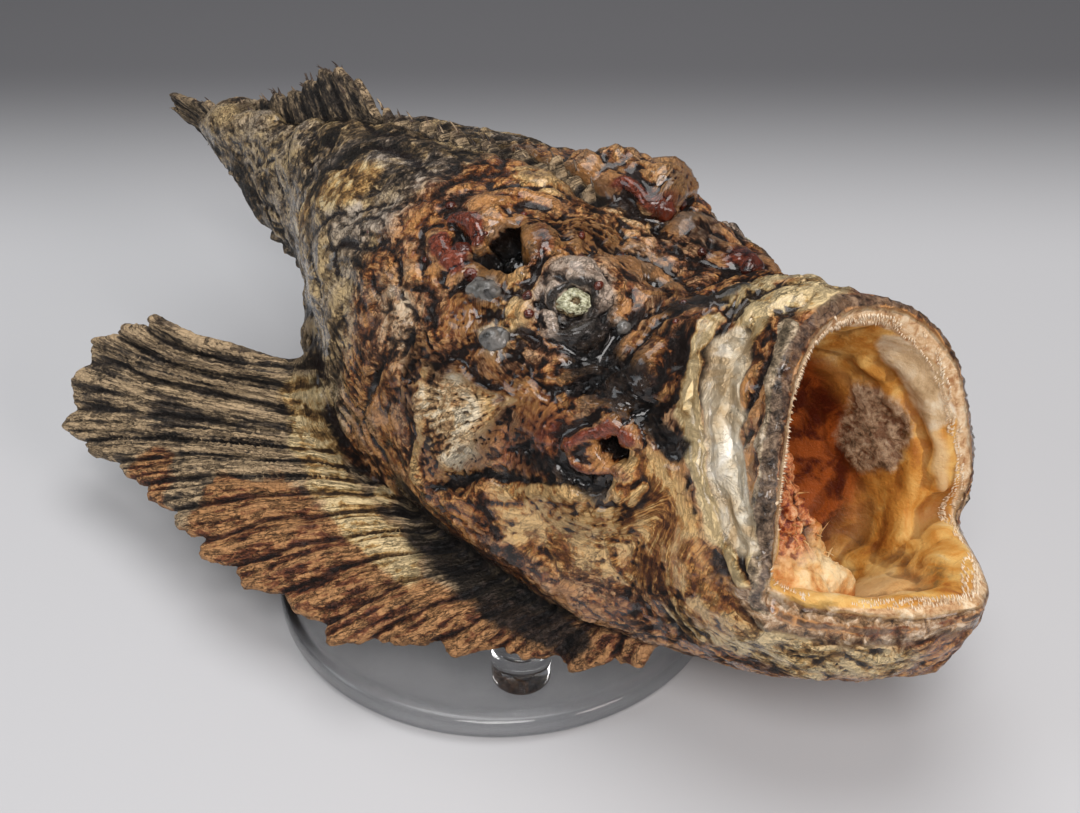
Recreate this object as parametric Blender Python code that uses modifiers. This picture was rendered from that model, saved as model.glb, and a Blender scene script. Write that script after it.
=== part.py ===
"""Dried stonefish with its mouth gaping, resting on a clear round stand with three pegs.

Part frame: metres, origin at the centre of the disc's underside, +X the way the fish faces,
+Y its left side, +Z up. The fish is modelled upright in its own frame and tipped by FISH_ROLL.
"""

import math

import bmesh
import bpy
import numpy as np
from mathutils import Vector

MM = 0.001
GAP = 0.0003
BOX_REACH = 250
EYE_SIDES = 12
EYE_RINGS = 6
DISC_SIDES = 48
PEG_SIDES = 16
STRAND_SIDES = 8

# Stand: a clear disc with three short pegs
DISC_RADIUS = 0.0520
DISC_HEIGHT = 0.0055
DISC_EDGE = 0.0018
PEG_RADIUS = 0.0064
PEG_TOP = 0.0165
PEG_EDGE = 0.0008
PEG_CIRCLE = 0.039
PEG_COUNT = 3
FIRST_PEG_ANGLE = math.radians(-34.4)

# How the fish sits over the stand
FISH_ROLL = math.radians(-7.0)
FISH_PLACE = (-0.002, 0.0138, 0.0003)

# Body sections from the tail root to the brow, in millimetres of the fish's own frame:
# distance forward, belly height, back height, half width
BODY_SECTIONS = [
    (-152, 54, 63, 2.6),
    (-142, 52, 65, 4.5),
    (-128, 50, 68, 7.0),
    (-113, 45, 72, 10.0),
    (-98, 39, 77, 13.5),
    (-84, 35, 82, 16.5),
    (-71, 31, 86, 22.0),
    (-58, 26, 88, 31.0),
    (-44, 21, 90, 38.0),
    (-28, 18, 92, 41.0),
    (-12, 16.5, 93, 43.0),
    (5, 15.5, 91, 43.5),
    (20, 14.5, 85, 42.0),
    (34, 14, 84, 39.5),
    (46, 13.5, 88, 36.5),
]
BACK_SQUARENESS = 2.5
BELLY_SQUARENESS = 3.1
WIDEST_LEVEL = 0.40

# Loops round the jaws. Each runs down one side from the middle of the upper jaw,
# past the corner of the mouth, to the chin: forward, sideways, up
SNOUT_LOOP = [
    (47, 0, 88), (48.5, 10, 87), (51, 19, 84), (56.5, 26, 76.5), (63, 31, 67),
    (69, 34, 55), (68, 33, 38), (68, 21, 19), (68, 0, 13),
]
MEMBRANE_LOOP = [
    (55, 0, 90), (57, 10.5, 88), (60.5, 18, 83), (64.5, 24, 76), (69.5, 28, 66.5),
    (75, 31, 55.5), (77, 32, 41), (83, 19, 24.5), (87, 0, 21),
]
LIP_BACK_LOOP = [
    (61, 0, 93), (64, 11, 91.5), (68.5, 20.5, 86.5), (73.5, 27, 78), (77, 30.5, 67),
    (81, 33, 56), (81, 31.5, 45), (93, 21, 34), (103, 0, 31),
]
LIP_EDGE_LOOP = [
    (66, 0, 93.5), (68.5, 11, 92.5), (72.5, 20.5, 87.5), (77, 26.5, 79), (80.5, 30, 68.5),
    (84.5, 32, 56.5), (84, 30.5, 47), (97.5, 19, 45), (109, 0, 47.5),
]
TOOTH_LOOP = [
    (68, 0, 91.8), (70, 10.5, 90.5), (74, 19.5, 85.5), (78.5, 25, 77.5), (81.5, 28, 67.5),
    (84.5, 29.5, 57), (83.5, 27.5, 49), (96.5, 17, 48), (107, 0, 49.5),
]
GUM_LOOP = [
    (66, 0, 88.5), (67.5, 9.5, 87), (71, 17, 82.5), (75.5, 22.5, 75.5), (79, 25.5, 67),
    (81.5, 26.5, 57), (81, 25.5, 48), (92.5, 14.5, 47), (101, 0, 47.5),
]

# Mouth cavity ovals from the gums to the throat: roof (x, z), floor (x, z), half width
MOUTH_OVALS = [
    ((60, 85), (84, 34), 22.5),
    ((53, 79.5), (74, 26.5), 23.5),
    ((45, 75), (63, 25), 23.0),
    ((36, 68), (45, 30), 17.0),
    ((27, 60), (31, 40), 9.0),
    ((23, 55), (25, 45), 4.0),
]

MOUTH_SQUARENESS = 2.5
MOUTH_SHIFT = 4.0
MOUTH_SHIFT_FROM = 45.0
MOUTH_SHIFT_TO = 70.0
MOUTH_YAW = 0.05
CHIN_SHIFT = 1.0
CHIN_SHIFT_FROM = 80.0
CHIN_SHIFT_TO = 110.0
CORNER_DROP = 4.5
CORNER_LEVEL = 52.0
CORNER_REACH = 14.0
CORNER_SIDE = 30.0

POINTS_AROUND = 32
COARSE_SECTIONS = 8

# Lumps and hollows of the head: forward, sideways, up, reach, height
LUMPS = {
    "brow_lump_left": (5, 22, 92, 10, 8),
    "brow_lump_right": (3, -22, 91, 9, 5),
    "eye_dome_right": (22, -20, 82, 9, 6),
    "eye_dome_left": (24, 20, 83, 10, 6),
    "brow_hollow_right": (0, -24, 83, 6, -5),
    "nose_wart_left": (34, 19, 82, 6, 3),
    "snout_hollow": (34, -20, 74, 7, -3),
    "cheek_hollow": (44, -30, 60, 8, -3.5),
    "gill_cover_right": (4, -41, 55, 20, 2.5),
    "gill_cover_left": (4, 41, 55, 20, 2.5),
    "jaw_process": (57, 2, 91, 8, 2.5),
    "chin_knob": (106, 5, 30, 6, 6),
}

# Planes that part the body, in millimetres of the fish's frame
TAIL_CUT = -108.0
NECK_CUT = -38.0
JAW_HINGE = (58.0, 40.0)
JAW_TILT = math.radians(-20.5)
SNOUT_POINT = (60.0, 71.0)
SNOUT_TILT = math.radians(-38.5)
PREMAXILLA_HALF = 13.0
GILL_COVER_POINT = (6.0, 34.0, 50.0)
GILL_COVER_LENGTH = 52.0
GILL_COVER_HEIGHT = 46.0
GILL_COVER_TILT = math.radians(-14.0)
GILL_COVER_SIDES = 18
PLUG_REACH = 30

# Eyes
EYE_RADIUS = 4.2
EYE_RIGHT = (22.5, -21.0, 84.0)
EYE_LEFT = (21.5, 26.5, 80.5)

# Fins: root line and edge line from the first ray to the last, and the thickness at each, in millimetres
PECTORAL_ROOT = [
    (-43, -34, 38),
    (-28, -36, 31),
    (-9, -35, 25),
    (12, -31, 22),
    (33, -26, 20),
    (54, -14, 19),
]
PECTORAL_EDGE = [
    (-80, -57, 43),
    (-102, -66, 28),
    (-94, -75, 12),
    (-66, -73, 11),
    (-33, -74, 11),
    (-14, -71.5, 10),
    (7, -68, 9),
    (22, -56, 10.5),
    (33, -46, 11),
    (45, -37, 12),
    (58, -26, 15),
]
FAR_FIN_LIFT = 0.25
FLANK = 33.0
PECTORAL_RAYS = 17
PECTORAL_ROOT_THICK = 9.0
PECTORAL_EDGE_THICK = 1.8
PECTORAL_BULGE = 4.0

BACK_FIN_ROOT = [(3, 2, 87), (-6, 2, 88), (-20, 1, 88), (-45, 0, 86), (-64, 0, 82)]
BACK_FIN_EDGE = [(0, 3, 98), (-9, 2, 100), (-22, 0, 100), (-47, 0, 96), (-70, 0, 94)]
BACK_FIN_SPINES = 13
BACK_FIN_THICK = (9.0, 3.0)
BACK_FIN_SCALLOP = 4.0
SOFT_FIN_ROOT = [(-62, 0, 80), (-80, 0, 76), (-100, 0, 70), (-124, 0, 64)]
SOFT_FIN_EDGE = [(-80, 0, 94), (-93, 0, 95), (-106, 0, 89), (-134, 0, 75)]
SOFT_FIN_RAYS = 7
SOFT_FIN_THICK = (6.0, 2.0)
VENT_FIN_ROOT = [(-78, 0, 38), (-95, 0, 44), (-118, 0, 50)]
VENT_FIN_EDGE = [(-93, 0, 30), (-110, 0, 34), (-132, 0, 45)]
VENT_FIN_RAYS = 7
VENT_FIN_THICK = (5.0, 2.0)
TAIL_FIN_ROOT = [(-140, 0, 62), (-139, 0, 58), (-140, 0, 54)]
TAIL_FIN_EDGE = [(-150, 0, 69), (-173, 0, 61), (-165, 0, 57.5), (-172, 0, 54), (-152, 0, 48.5)]
TAIL_FIN_RAYS = 6
TAIL_FIN_THICK = (5.0, 2.4)
PELVIC_ROOT = [(6, -4, 18), (5, -9, 18), (0, -14, 18)]
PELVIC_EDGE = [(-32, -12, 14), (-40, -24, 13), (-28, -33, 14)]
PELVIC_RAYS = 5
PELVIC_THICK = (4.0, 1.6)

# Torn gill tissue standing in the mouth, from the floor up: forward, sideways, up, radius
TISSUE_STRAND = [
    (80, -6, 34, 7),
    (77, -9, 40, 7.5),
    (72, -11, 48, 6.5),
    (68, -11, 57, 5),
    (65, -10, 67, 3),
]

COLOURS = {
    "skin_dark": ((0.075, 0.045, 0.03), 0.55),
    "skin_tail": ((0.16, 0.12, 0.08), 0.6),
    "skin_jaw": ((0.42, 0.24, 0.07), 0.45),
    "fin": ((0.10, 0.06, 0.035), 0.65),
    "tissue": ((0.65, 0.22, 0.07), 0.35),
    "eye": ((0.55, 0.5, 0.38), 0.2),
    "clear_acrylic": ((0.85, 0.9, 0.92), 0.05),
}


def clear_scene():
    for obj in list(bpy.data.objects):
        bpy.data.objects.remove(obj, do_unlink=True)


def new_collection(name):
    collection = bpy.data.collections.new(name)
    bpy.context.scene.collection.children.link(collection)
    return collection


def material(name):
    """A Principled material with the colour and roughness listed in COLOURS."""
    found = bpy.data.materials.get(name)
    if found:
        return found
    made = bpy.data.materials.new(name)
    made.use_nodes = True
    shader = made.node_tree.nodes["Principled BSDF"]
    colour, roughness = COLOURS[name]
    shader.inputs["Base Color"].default_value = (*colour, 1.0)
    shader.inputs["Roughness"].default_value = roughness
    shader.inputs["Metallic"].default_value = 0.0
    return made


def add_object(name, mesh, collection, parent=None, finish=None):
    obj = bpy.data.objects.new(name, mesh)
    collection.objects.link(obj)
    obj.parent = parent
    if finish:
        mesh.materials.clear()
        mesh.materials.append(material(finish))
    return obj


def as_cutter(obj):
    obj.hide_render = True
    obj.display_type = "WIRE"
    return obj


def mesh_from_rings(name, rings):
    """A closed loft through rings of equal point counts, with a fan over each end."""
    mesh = bpy.data.meshes.new(name)
    form = bmesh.new()
    loops = [[form.verts.new(point) for point in ring] for ring in rings]
    count = len(loops[0])
    for one, two in zip(loops, loops[1:]):
        for i in range(count):
            j = (i + 1) % count
            form.faces.new((one[i], one[j], two[j], two[i]))
    for loop in (loops[0], loops[-1]):
        centre = form.verts.new(sum((v.co for v in loop), Vector()) / count)
        for i in range(count):
            form.faces.new((loop[i], loop[(i + 1) % count], centre))
    bmesh.ops.triangulate(form, faces=form.faces[:])
    bmesh.ops.recalc_face_normals(form, faces=form.faces[:])
    form.to_mesh(mesh)
    form.free()
    mesh.shade_smooth()
    return mesh


def smooth_through(points, steps, closed=False):
    """Points on a Catmull-Rom curve through the given ones, with `steps` to each span or one for each."""
    points = np.asarray(points, float)
    count = len(points)
    spans = count if closed else count - 1
    steps = [steps] * spans if isinstance(steps, int) else steps
    made = []
    for i in range(spans):
        if closed:
            before, start, end, after = (points[(i + k) % count] for k in (-1, 0, 1, 2))
        else:
            before = points[i - 1] if i else 2 * points[0] - points[1]
            start, end = points[i], points[i + 1]
            after = points[i + 2] if i + 2 < count else 2 * points[-1] - points[-2]
        for step in range(steps[i]):
            t = step / steps[i]
            straight = 2 * start + (end - before) * t
            bend = (2 * before - 5 * start + 4 * end - after) * t**2
            twist = (3 * start - before - 3 * end + after) * t**3
            made.append(0.5 * (straight + bend + twist))
    if not closed:
        made.append(points[-1])
    return np.array(made)


def squared(value, power):
    return math.copysign(abs(value) ** (2.0 / power), value)


def body_ring(x, bottom, top, half_width):
    """One upright section of the trunk, from the back round the right side to the belly and up the left."""
    widest = bottom + WIDEST_LEVEL * (top - bottom)
    ring = []
    for i in range(POINTS_AROUND):
        angle = 2 * math.pi * i / POINTS_AROUND
        above = math.cos(angle) > 0
        power = BACK_SQUARENESS if above else BELLY_SQUARENESS
        reach = (top - widest) if above else (widest - bottom)
        rise = squared(math.cos(angle), power)
        ring.append((x, -half_width * squared(math.sin(angle), power), widest + rise * reach))
    return np.array(ring)


def jaw_ring(half_loop):
    """A full ring round the jaws from the points down one side, mirrored to the other."""
    right = [(x, -y, z) for x, y, z in half_loop]
    left = [(x, y, z) for x, y, z in half_loop[-2:0:-1]]
    return smooth_through(right + left, POINTS_AROUND // (2 * (len(half_loop) - 1)), closed=True)


def mouth_ring(roof, floor, half_width):
    """A tilted oval of the mouth cavity between its roof and floor points."""
    middle = ((roof[0] + floor[0]) / 2, (roof[1] + floor[1]) / 2)
    ring = []
    for i in range(POINTS_AROUND):
        angle = 2 * math.pi * i / POINTS_AROUND
        rise = squared(math.cos(angle), MOUTH_SQUARENESS)
        ring.append((
            middle[0] + rise * (roof[0] - middle[0]),
            -half_width * squared(math.sin(angle), MOUTH_SQUARENESS),
            middle[1] + rise * (roof[1] - middle[1]),
        ))
    return np.array(ring)


def skewed(rings):
    """The mouth dried askew: over to the left, its left side forward and its left corner lower."""
    span = MOUTH_SHIFT_TO - MOUTH_SHIFT_FROM
    share = np.clip((rings[..., 0] - MOUTH_SHIFT_FROM) / span, 0, 1)
    near_corner = np.exp(-(((rings[..., 2] - CORNER_LEVEL) / CORNER_REACH) ** 2))
    rings[..., 2] -= CORNER_DROP * near_corner * share * np.clip(rings[..., 1] / CORNER_SIDE, 0, 1)
    rings[..., 0] += MOUTH_YAW * rings[..., 1] * share
    rings[..., 1] += MOUTH_SHIFT * share
    chin_span = CHIN_SHIFT_TO - CHIN_SHIFT_FROM
    rings[..., 1] += CHIN_SHIFT * np.clip((rings[..., 0] - CHIN_SHIFT_FROM) / chin_span, 0, 1)
    return rings


def raise_lumps(mesh, outer_points):
    """Pushes the outer skin out at each lump and in at each hollow."""
    for vertex in mesh.vertices[:outer_points]:
        push = 0.0
        for x, y, z, reach, height in LUMPS.values():
            away = (vertex.co - Vector((x, y, z)) * MM).length / (reach * MM)
            push += height * MM * math.exp(-away * away)
        vertex.co += vertex.normal * push


def whole_body_mesh():
    """Trunk, head, lips and mouth cavity as one closed skin, with finer rings round the head and jaws."""
    sections = [body_ring(*section) for section in BODY_SECTIONS]
    lips = [jaw_ring(loop) for loop in (SNOUT_LOOP, MEMBRANE_LOOP, LIP_BACK_LOOP, LIP_EDGE_LOOP)]
    mouth = [jaw_ring(TOOTH_LOOP), jaw_ring(GUM_LOOP)] + [mouth_ring(*oval) for oval in MOUTH_OVALS]
    controls = sections + lips + mouth
    steps = [1] * COARSE_SECTIONS + [2] * (len(controls) - 1 - COARSE_SECTIONS - len(MOUTH_OVALS))
    outer_rings = sum(steps[: len(sections) + len(lips) - 2])
    steps += [1] * len(MOUTH_OVALS)
    columns = [smooth_through([ring[i] for ring in controls], steps) for i in range(POINTS_AROUND)]
    rings = skewed(np.array(columns).transpose(1, 0, 2))
    mesh = mesh_from_rings("whole_body", rings * MM)
    raise_lumps(mesh, outer_rings * POINTS_AROUND)
    return mesh


def boolean(obj, other, operation):
    modifier = obj.modifiers.new(f"{operation.lower()}_{other.name}", "BOOLEAN")
    modifier.operation = operation
    modifier.solver = "EXACT"
    modifier.object = other


def box_cutter(name, corner_low, corner_high, tilt, pivot):
    """A box between two corners, turned by tilt round Y at the pivot, in millimetres of the fish's frame."""
    mesh = bpy.data.meshes.new(name)
    form = bmesh.new()
    bmesh.ops.create_cube(form, size=1.0)
    low, high = Vector(corner_low) * MM, Vector(corner_high) * MM
    for vertex in form.verts:
        vertex.co = Vector(c + (v + 0.5) * (d - c) for c, d, v in zip(low, high, vertex.co))
    form.to_mesh(mesh)
    form.free()
    obj = as_cutter(add_object(name, mesh, cutters, fish))
    obj.location = Vector(pivot) * MM
    obj.rotation_euler = (0.0, tilt, 0.0)
    return obj


def gill_cover_cutter(name, sign, extra):
    """An oval plug that reaches in from one flank as deep as the gill cover."""
    x, y, z = GILL_COVER_POINT
    mesh = bpy.data.meshes.new(name)
    form = bmesh.new()
    bmesh.ops.create_cone(
        form, cap_ends=True, segments=GILL_COVER_SIDES, radius1=1, radius2=1, depth=1
    )
    half_length = GILL_COVER_LENGTH / 2 + extra
    half_height = GILL_COVER_HEIGHT / 2 + extra
    for vertex in form.verts:
        across, up, out = vertex.co
        inward = y - extra if out < 0 else y + PLUG_REACH
        vertex.co = Vector((across * half_length, sign * inward, up * half_height)) * MM
    bmesh.ops.recalc_face_normals(form, faces=form.faces[:])
    form.to_mesh(mesh)
    form.free()
    obj = as_cutter(add_object(name, mesh, cutters, fish))
    obj.location = Vector((x, 0, z)) * MM
    obj.rotation_euler = (0.0, GILL_COVER_TILT, 0.0)
    return obj


def peeled(name, source, finish, keep=(), drop=()):
    """A copy of the source cut down to what lies inside every `keep` box and outside every `drop` box."""
    obj = add_object(name, source.data.copy(), parts, fish, finish)
    for box in keep:
        boolean(obj, box, "INTERSECT")
    for box in drop:
        boolean(obj, box, "DIFFERENCE")
    return obj


def fin_mesh(name, root, edge, rays, thick, bulge=0.0, scallop=2.0, across=3, per_ray=2):
    """A ray fin as one closed plate between its root line and its edge line, ribbed along each ray.

    `thick` is the thickness at the root and at the edge, `bulge` swells the plate outwards,
    and `scallop` notches the edge between rays.
    """
    count = rays * per_ray
    root = resampled(root, count)
    edge = resampled(edge, count)
    along = np.arange(count + 1) / per_ray
    rib = np.abs(np.cos(np.pi * along))
    rows = []
    for step in range(across + 1):
        share = step / across
        notch = (1 - rib) * scallop * share**3
        reach = np.linalg.norm(edge - root, axis=1)
        pull = (share * (1 - notch / reach))[:, None]
        rows.append(root + (edge - root) * pull)
    sheet = np.array(rows)
    down = np.gradient(sheet, axis=0)
    sideways = np.gradient(sheet, axis=1)
    normal = np.cross(down, sideways)
    normal /= np.linalg.norm(normal, axis=2, keepdims=True)
    share = np.linspace(0, 1, across + 1)[:, None, None]
    sheet = sheet + normal * bulge * np.sin(np.pi * share)
    width = (thick[0] + (thick[1] - thick[0]) * share) * (0.7 + 0.3 * rib[None, :, None])
    ends = np.minimum(np.arange(count + 1), np.arange(count, -1, -1))
    width = width * np.where(ends == 0, 0.55, 1.0)[None, :, None]
    upper = sheet + normal * width / 2
    lower = sheet - normal * width / 2
    rings = np.concatenate([upper, lower[:, ::-1]], axis=1)
    return mesh_from_strips(name, rings * MM)


def resampled(points, spans):
    """Evenly spread points along the smooth curve through the given ones."""
    fine = smooth_through(points, 24)
    length = np.concatenate([[0], np.cumsum(np.linalg.norm(np.diff(fine, axis=0), axis=1))])
    wanted = np.linspace(0, length[-1], spans + 1)
    return np.stack([np.interp(wanted, length, fine[:, axis]) for axis in range(3)], axis=1)


def mesh_from_strips(name, rings):
    """A closed plate from rings that run over one face and back under the other."""
    mesh = bpy.data.meshes.new(name)
    form = bmesh.new()
    loops = [[form.verts.new(point) for point in ring] for ring in rings]
    count = len(loops[0])
    for one, two in zip(loops, loops[1:]):
        for i in range(count):
            j = (i + 1) % count
            form.faces.new((one[i], one[j], two[j], two[i]))
    for loop in (loops[0], loops[-1]):
        for i in range(count // 2 - 1):
            form.faces.new((loop[i], loop[i + 1], loop[count - 2 - i], loop[count - 1 - i]))
    bmesh.ops.triangulate(form, faces=form.faces[:])
    bmesh.ops.recalc_face_normals(form, faces=form.faces[:])
    form.to_mesh(mesh)
    form.free()
    mesh.shade_smooth()
    return mesh


def mirrored(points, lift=0.0):
    """The same line on the fish's left side, raised in proportion to its reach past the flank."""
    return [(x, -y, z + lift * max(0, -y - FLANK)) for x, y, z in points]


def fin(name, root, edge, rays, thick, **shape):
    obj = add_object(name, fin_mesh(name, root, edge, rays, thick, **shape), parts, fish, "fin")
    for cutter in (fattened, *peg_cutters):
        boolean(obj, cutter, "DIFFERENCE")
    return obj


def eye_ball(name, place, radius, collection):
    mesh = bpy.data.meshes.new(name)
    form = bmesh.new()
    bmesh.ops.create_uvsphere(
        form, u_segments=EYE_SIDES, v_segments=EYE_RINGS, radius=radius * MM
    )
    form.to_mesh(mesh)
    form.free()
    mesh.shade_smooth()
    obj = add_object(name, mesh, collection, fish, "eye")
    obj.location = Vector(place) * MM
    return obj


def cylinder(name, radius, low, high, edge, place, finish, collection, sides=PEG_SIDES):
    """An upright cylinder between two levels with its upper and lower edges rounded over."""
    mesh = bpy.data.meshes.new(name)
    form = bmesh.new()
    bmesh.ops.create_cone(
        form, cap_ends=True, segments=sides, radius1=radius, radius2=radius, depth=high - low
    )
    form.to_mesh(mesh)
    form.free()
    obj = add_object(name, mesh, collection, None, finish)
    obj.location = (place[0], place[1], (low + high) / 2)
    if edge:
        bevel = obj.modifiers.new("rounded_edge", "BEVEL")
        bevel.width = edge
        bevel.segments = 1
        bevel.limit_method = "ANGLE"
    mesh.shade_smooth()
    mesh.set_sharp_from_angle(angle=math.radians(40))
    return obj


def strand_mesh(name, points):
    """A tapering strand through points that each carry a radius, closed at both ends."""
    fine = smooth_through(points, 3)
    rings = []
    for index, (x, y, z, radius) in enumerate(fine):
        ahead = fine[min(index + 1, len(fine) - 1), :3] - fine[max(index - 1, 0), :3]
        turn = Vector(ahead).to_track_quat("Z", "X")
        ring = []
        for i in range(STRAND_SIDES):
            angle = 2 * math.pi * i / STRAND_SIDES
            swell = radius * (1 + 0.18 * math.sin(3 * angle + index))
            ring.append(Vector((x, y, z)) + turn @ Vector((math.cos(angle), math.sin(angle), 0)) * swell)
        rings.append(np.array(ring))
    return mesh_from_rings(name, np.array(rings) * MM)


clear_scene()
parts = new_collection("dried_stonefish")
cutters = new_collection("cutters")
fish = bpy.data.objects.new("fish_frame", None)
parts.objects.link(fish)
fish.location = FISH_PLACE
fish.rotation_euler = (FISH_ROLL, 0.0, 0.0)

whole = as_cutter(add_object("whole_body", whole_body_mesh(), cutters, fish))
fattened = as_cutter(add_object("whole_body_and_gap", whole.data.copy(), cutters, fish))
swell = fattened.modifiers.new("gap", "DISPLACE")
swell.strength = GAP
swell.mid_level = 0.0

# Boxes that part the body. Each has a twin grown by the gap, which its neighbours lose.
half = BOX_REACH
gap = GAP / MM
hinge = (JAW_HINGE[0], 0, JAW_HINGE[1])
snout = (SNOUT_POINT[0], 0, SNOUT_POINT[1])
jaw_box = box_cutter("jaw_box", (0, -half, -half), (half, half, 0), JAW_TILT, hinge)
jaw_box_gap = box_cutter("jaw_box_gap", (-gap, -half, -half), (half, half, gap), JAW_TILT, hinge)
snout_box = box_cutter("snout_box", (0, -half, -half), (half, half, half), SNOUT_TILT, snout)
snout_box_gap = box_cutter("snout_box_gap", (-gap, -half, -half), (half, half, half), SNOUT_TILT, snout)
side = PREMAXILLA_HALF
shift = MOUTH_SHIFT
lip_box = box_cutter("lip_box", (-half, shift - side, -half), (half, shift + side, half), 0, snout)
right_box = box_cutter("right_box", (-half, -half, -half), (half, shift - side - gap, half), 0, snout)
left_box = box_cutter("left_box", (-half, shift + side + gap, -half), (half, half, half), 0, snout)
tail_box = box_cutter("tail_box", (-half, -half, -half), (TAIL_CUT, half, half), 0, (0, 0, 0))
trunk_box = box_cutter("trunk_box", (TAIL_CUT + gap, -half, -half), (NECK_CUT, half, half), 0, (0, 0, 0))
head_box = box_cutter("head_box", (NECK_CUT + gap, -half, -half), (half, half, half), 0, (0, 0, 0))

covers = {}
for name, sign in (("right", -1), ("left", 1)):
    for extra, ending in ((0.0, ""), (gap, "_gap")):
        covers[name + ending] = gill_cover_cutter(f"gill_cover_cutter_{name}{ending}", sign, extra)

# Pegs and disc
cylinder(
    "stand_base", DISC_RADIUS, 0.0, DISC_HEIGHT, DISC_EDGE, (0, 0), "clear_acrylic", parts, DISC_SIDES
)
peg_cutters = []
for index in range(PEG_COUNT):
    turn = FIRST_PEG_ANGLE + index * 2 * math.pi / PEG_COUNT
    place = (PEG_CIRCLE * math.cos(turn), PEG_CIRCLE * math.sin(turn))
    low = DISC_HEIGHT + GAP
    cylinder(f"stand_peg_{index + 1}", PEG_RADIUS, low, PEG_TOP, PEG_EDGE, place, "clear_acrylic", parts)
    cutter = cylinder(f"peg_{index + 1}_gap", PEG_RADIUS + GAP, low, PEG_TOP + GAP, 0, place, None, cutters)
    peg_cutters.append(as_cutter(cutter))

# Eyes and their sockets
eyes = {"right": EYE_RIGHT, "left": EYE_LEFT}
sockets = []
for name, place in eyes.items():
    eye_ball(f"eye_{name}", place, EYE_RADIUS, parts)
    sockets.append(as_cutter(eye_ball(f"socket_{name}", place, EYE_RADIUS + gap, cutters)))

# The body's own pieces
peeled("tail", whole, "skin_tail", keep=[tail_box])
peeled("trunk", whole, "skin_dark", keep=[trunk_box], drop=peg_cutters)
peeled("lower_jaw", whole, "skin_jaw", keep=[jaw_box], drop=peg_cutters)
peeled("upper_jaw", whole, "skin_jaw", keep=[snout_box, lip_box], drop=[jaw_box_gap])
peeled("maxilla_right", whole, "skin_jaw", keep=[snout_box, right_box], drop=[jaw_box_gap])
peeled("maxilla_left", whole, "skin_jaw", keep=[snout_box, left_box], drop=[jaw_box_gap])
for name in eyes:
    peeled(f"gill_cover_{name}", whole, "skin_dark", keep=[covers[name]])
peeled(
    "head",
    whole,
    "skin_dark",
    keep=[head_box],
    drop=[jaw_box_gap, snout_box_gap, covers["right_gap"], covers["left_gap"], *sockets, *peg_cutters],
)

# Fins
pectoral = {"rays": PECTORAL_RAYS, "thick": (PECTORAL_ROOT_THICK, PECTORAL_EDGE_THICK)}
fin("pectoral_fin_right", PECTORAL_ROOT, PECTORAL_EDGE, bulge=PECTORAL_BULGE, **pectoral)
far_edge = mirrored(PECTORAL_EDGE, FAR_FIN_LIFT)
fin("pectoral_fin_left", mirrored(PECTORAL_ROOT), far_edge, bulge=-PECTORAL_BULGE, **pectoral)
fin(
    "dorsal_fin_spines",
    BACK_FIN_ROOT,
    BACK_FIN_EDGE,
    BACK_FIN_SPINES,
    BACK_FIN_THICK,
    scallop=BACK_FIN_SCALLOP,
    across=2,
)
fin("dorsal_fin_soft", SOFT_FIN_ROOT, SOFT_FIN_EDGE, SOFT_FIN_RAYS, SOFT_FIN_THICK)
fin("anal_fin", VENT_FIN_ROOT, VENT_FIN_EDGE, VENT_FIN_RAYS, VENT_FIN_THICK)
fin("caudal_fin", TAIL_FIN_ROOT, TAIL_FIN_EDGE, TAIL_FIN_RAYS, TAIL_FIN_THICK)
fin("pelvic_fin_right", PELVIC_ROOT, PELVIC_EDGE, PELVIC_RAYS, PELVIC_THICK)
fin("pelvic_fin_left", mirrored(PELVIC_ROOT), mirrored(PELVIC_EDGE), PELVIC_RAYS, PELVIC_THICK)

tissue = add_object("gill_tissue", strand_mesh("gill_tissue", TISSUE_STRAND), parts, fish, "tissue")
boolean(tissue, fattened, "DIFFERENCE")
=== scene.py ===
"""Looks of a dried stonefish, its mouth gaping, on a clear round stand.

The script is in metres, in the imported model's frame. The skin is shaped in the fish's own frame,
in millimetres and upright: x forward, y to its left, z up.
"""

import math

import bmesh
import bpy
import numpy as np
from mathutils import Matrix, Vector
from mathutils.bvhtree import BVHTree
from mathutils.kdtree import KDTree


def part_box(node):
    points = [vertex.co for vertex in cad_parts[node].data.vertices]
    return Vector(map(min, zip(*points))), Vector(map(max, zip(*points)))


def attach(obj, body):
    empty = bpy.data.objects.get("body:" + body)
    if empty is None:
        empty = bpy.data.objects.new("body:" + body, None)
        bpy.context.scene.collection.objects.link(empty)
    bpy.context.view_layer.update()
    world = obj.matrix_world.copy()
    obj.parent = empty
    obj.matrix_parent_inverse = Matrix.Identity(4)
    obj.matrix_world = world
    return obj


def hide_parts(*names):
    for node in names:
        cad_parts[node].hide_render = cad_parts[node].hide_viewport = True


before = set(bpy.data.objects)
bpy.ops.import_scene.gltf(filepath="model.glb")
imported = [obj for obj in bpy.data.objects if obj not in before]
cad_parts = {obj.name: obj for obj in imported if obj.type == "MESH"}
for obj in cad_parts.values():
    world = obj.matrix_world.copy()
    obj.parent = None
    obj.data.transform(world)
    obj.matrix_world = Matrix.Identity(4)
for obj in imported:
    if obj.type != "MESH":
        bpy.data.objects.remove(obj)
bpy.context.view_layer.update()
bpy.ops.object.select_all(action="DESELECT")
scene = bpy.context.scene


# ---------------------------------------------------------------------------------------------
# Camera. It looks down on the open mouth from the fish's right side, through a long lens.
# ---------------------------------------------------------------------------------------------
CAMERA_PLACE = Vector((0.19196, -0.16049, 0.22600))
CAMERA_TOWARDS = Vector((-0.6065, 0.5461, -0.5779))
CAMERA_LENS = 46.667

camera_data = bpy.data.cameras.new("camera")
camera_data.lens = CAMERA_LENS
camera_data.sensor_width = 36.0
camera_data.clip_start = 0.01
camera = bpy.data.objects.new("camera", camera_data)
camera.location = CAMERA_PLACE
camera.rotation_euler = CAMERA_TOWARDS.to_track_quat("-Z", "Y").to_euler()
scene.collection.objects.link(camera)
scene.camera = camera


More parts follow.
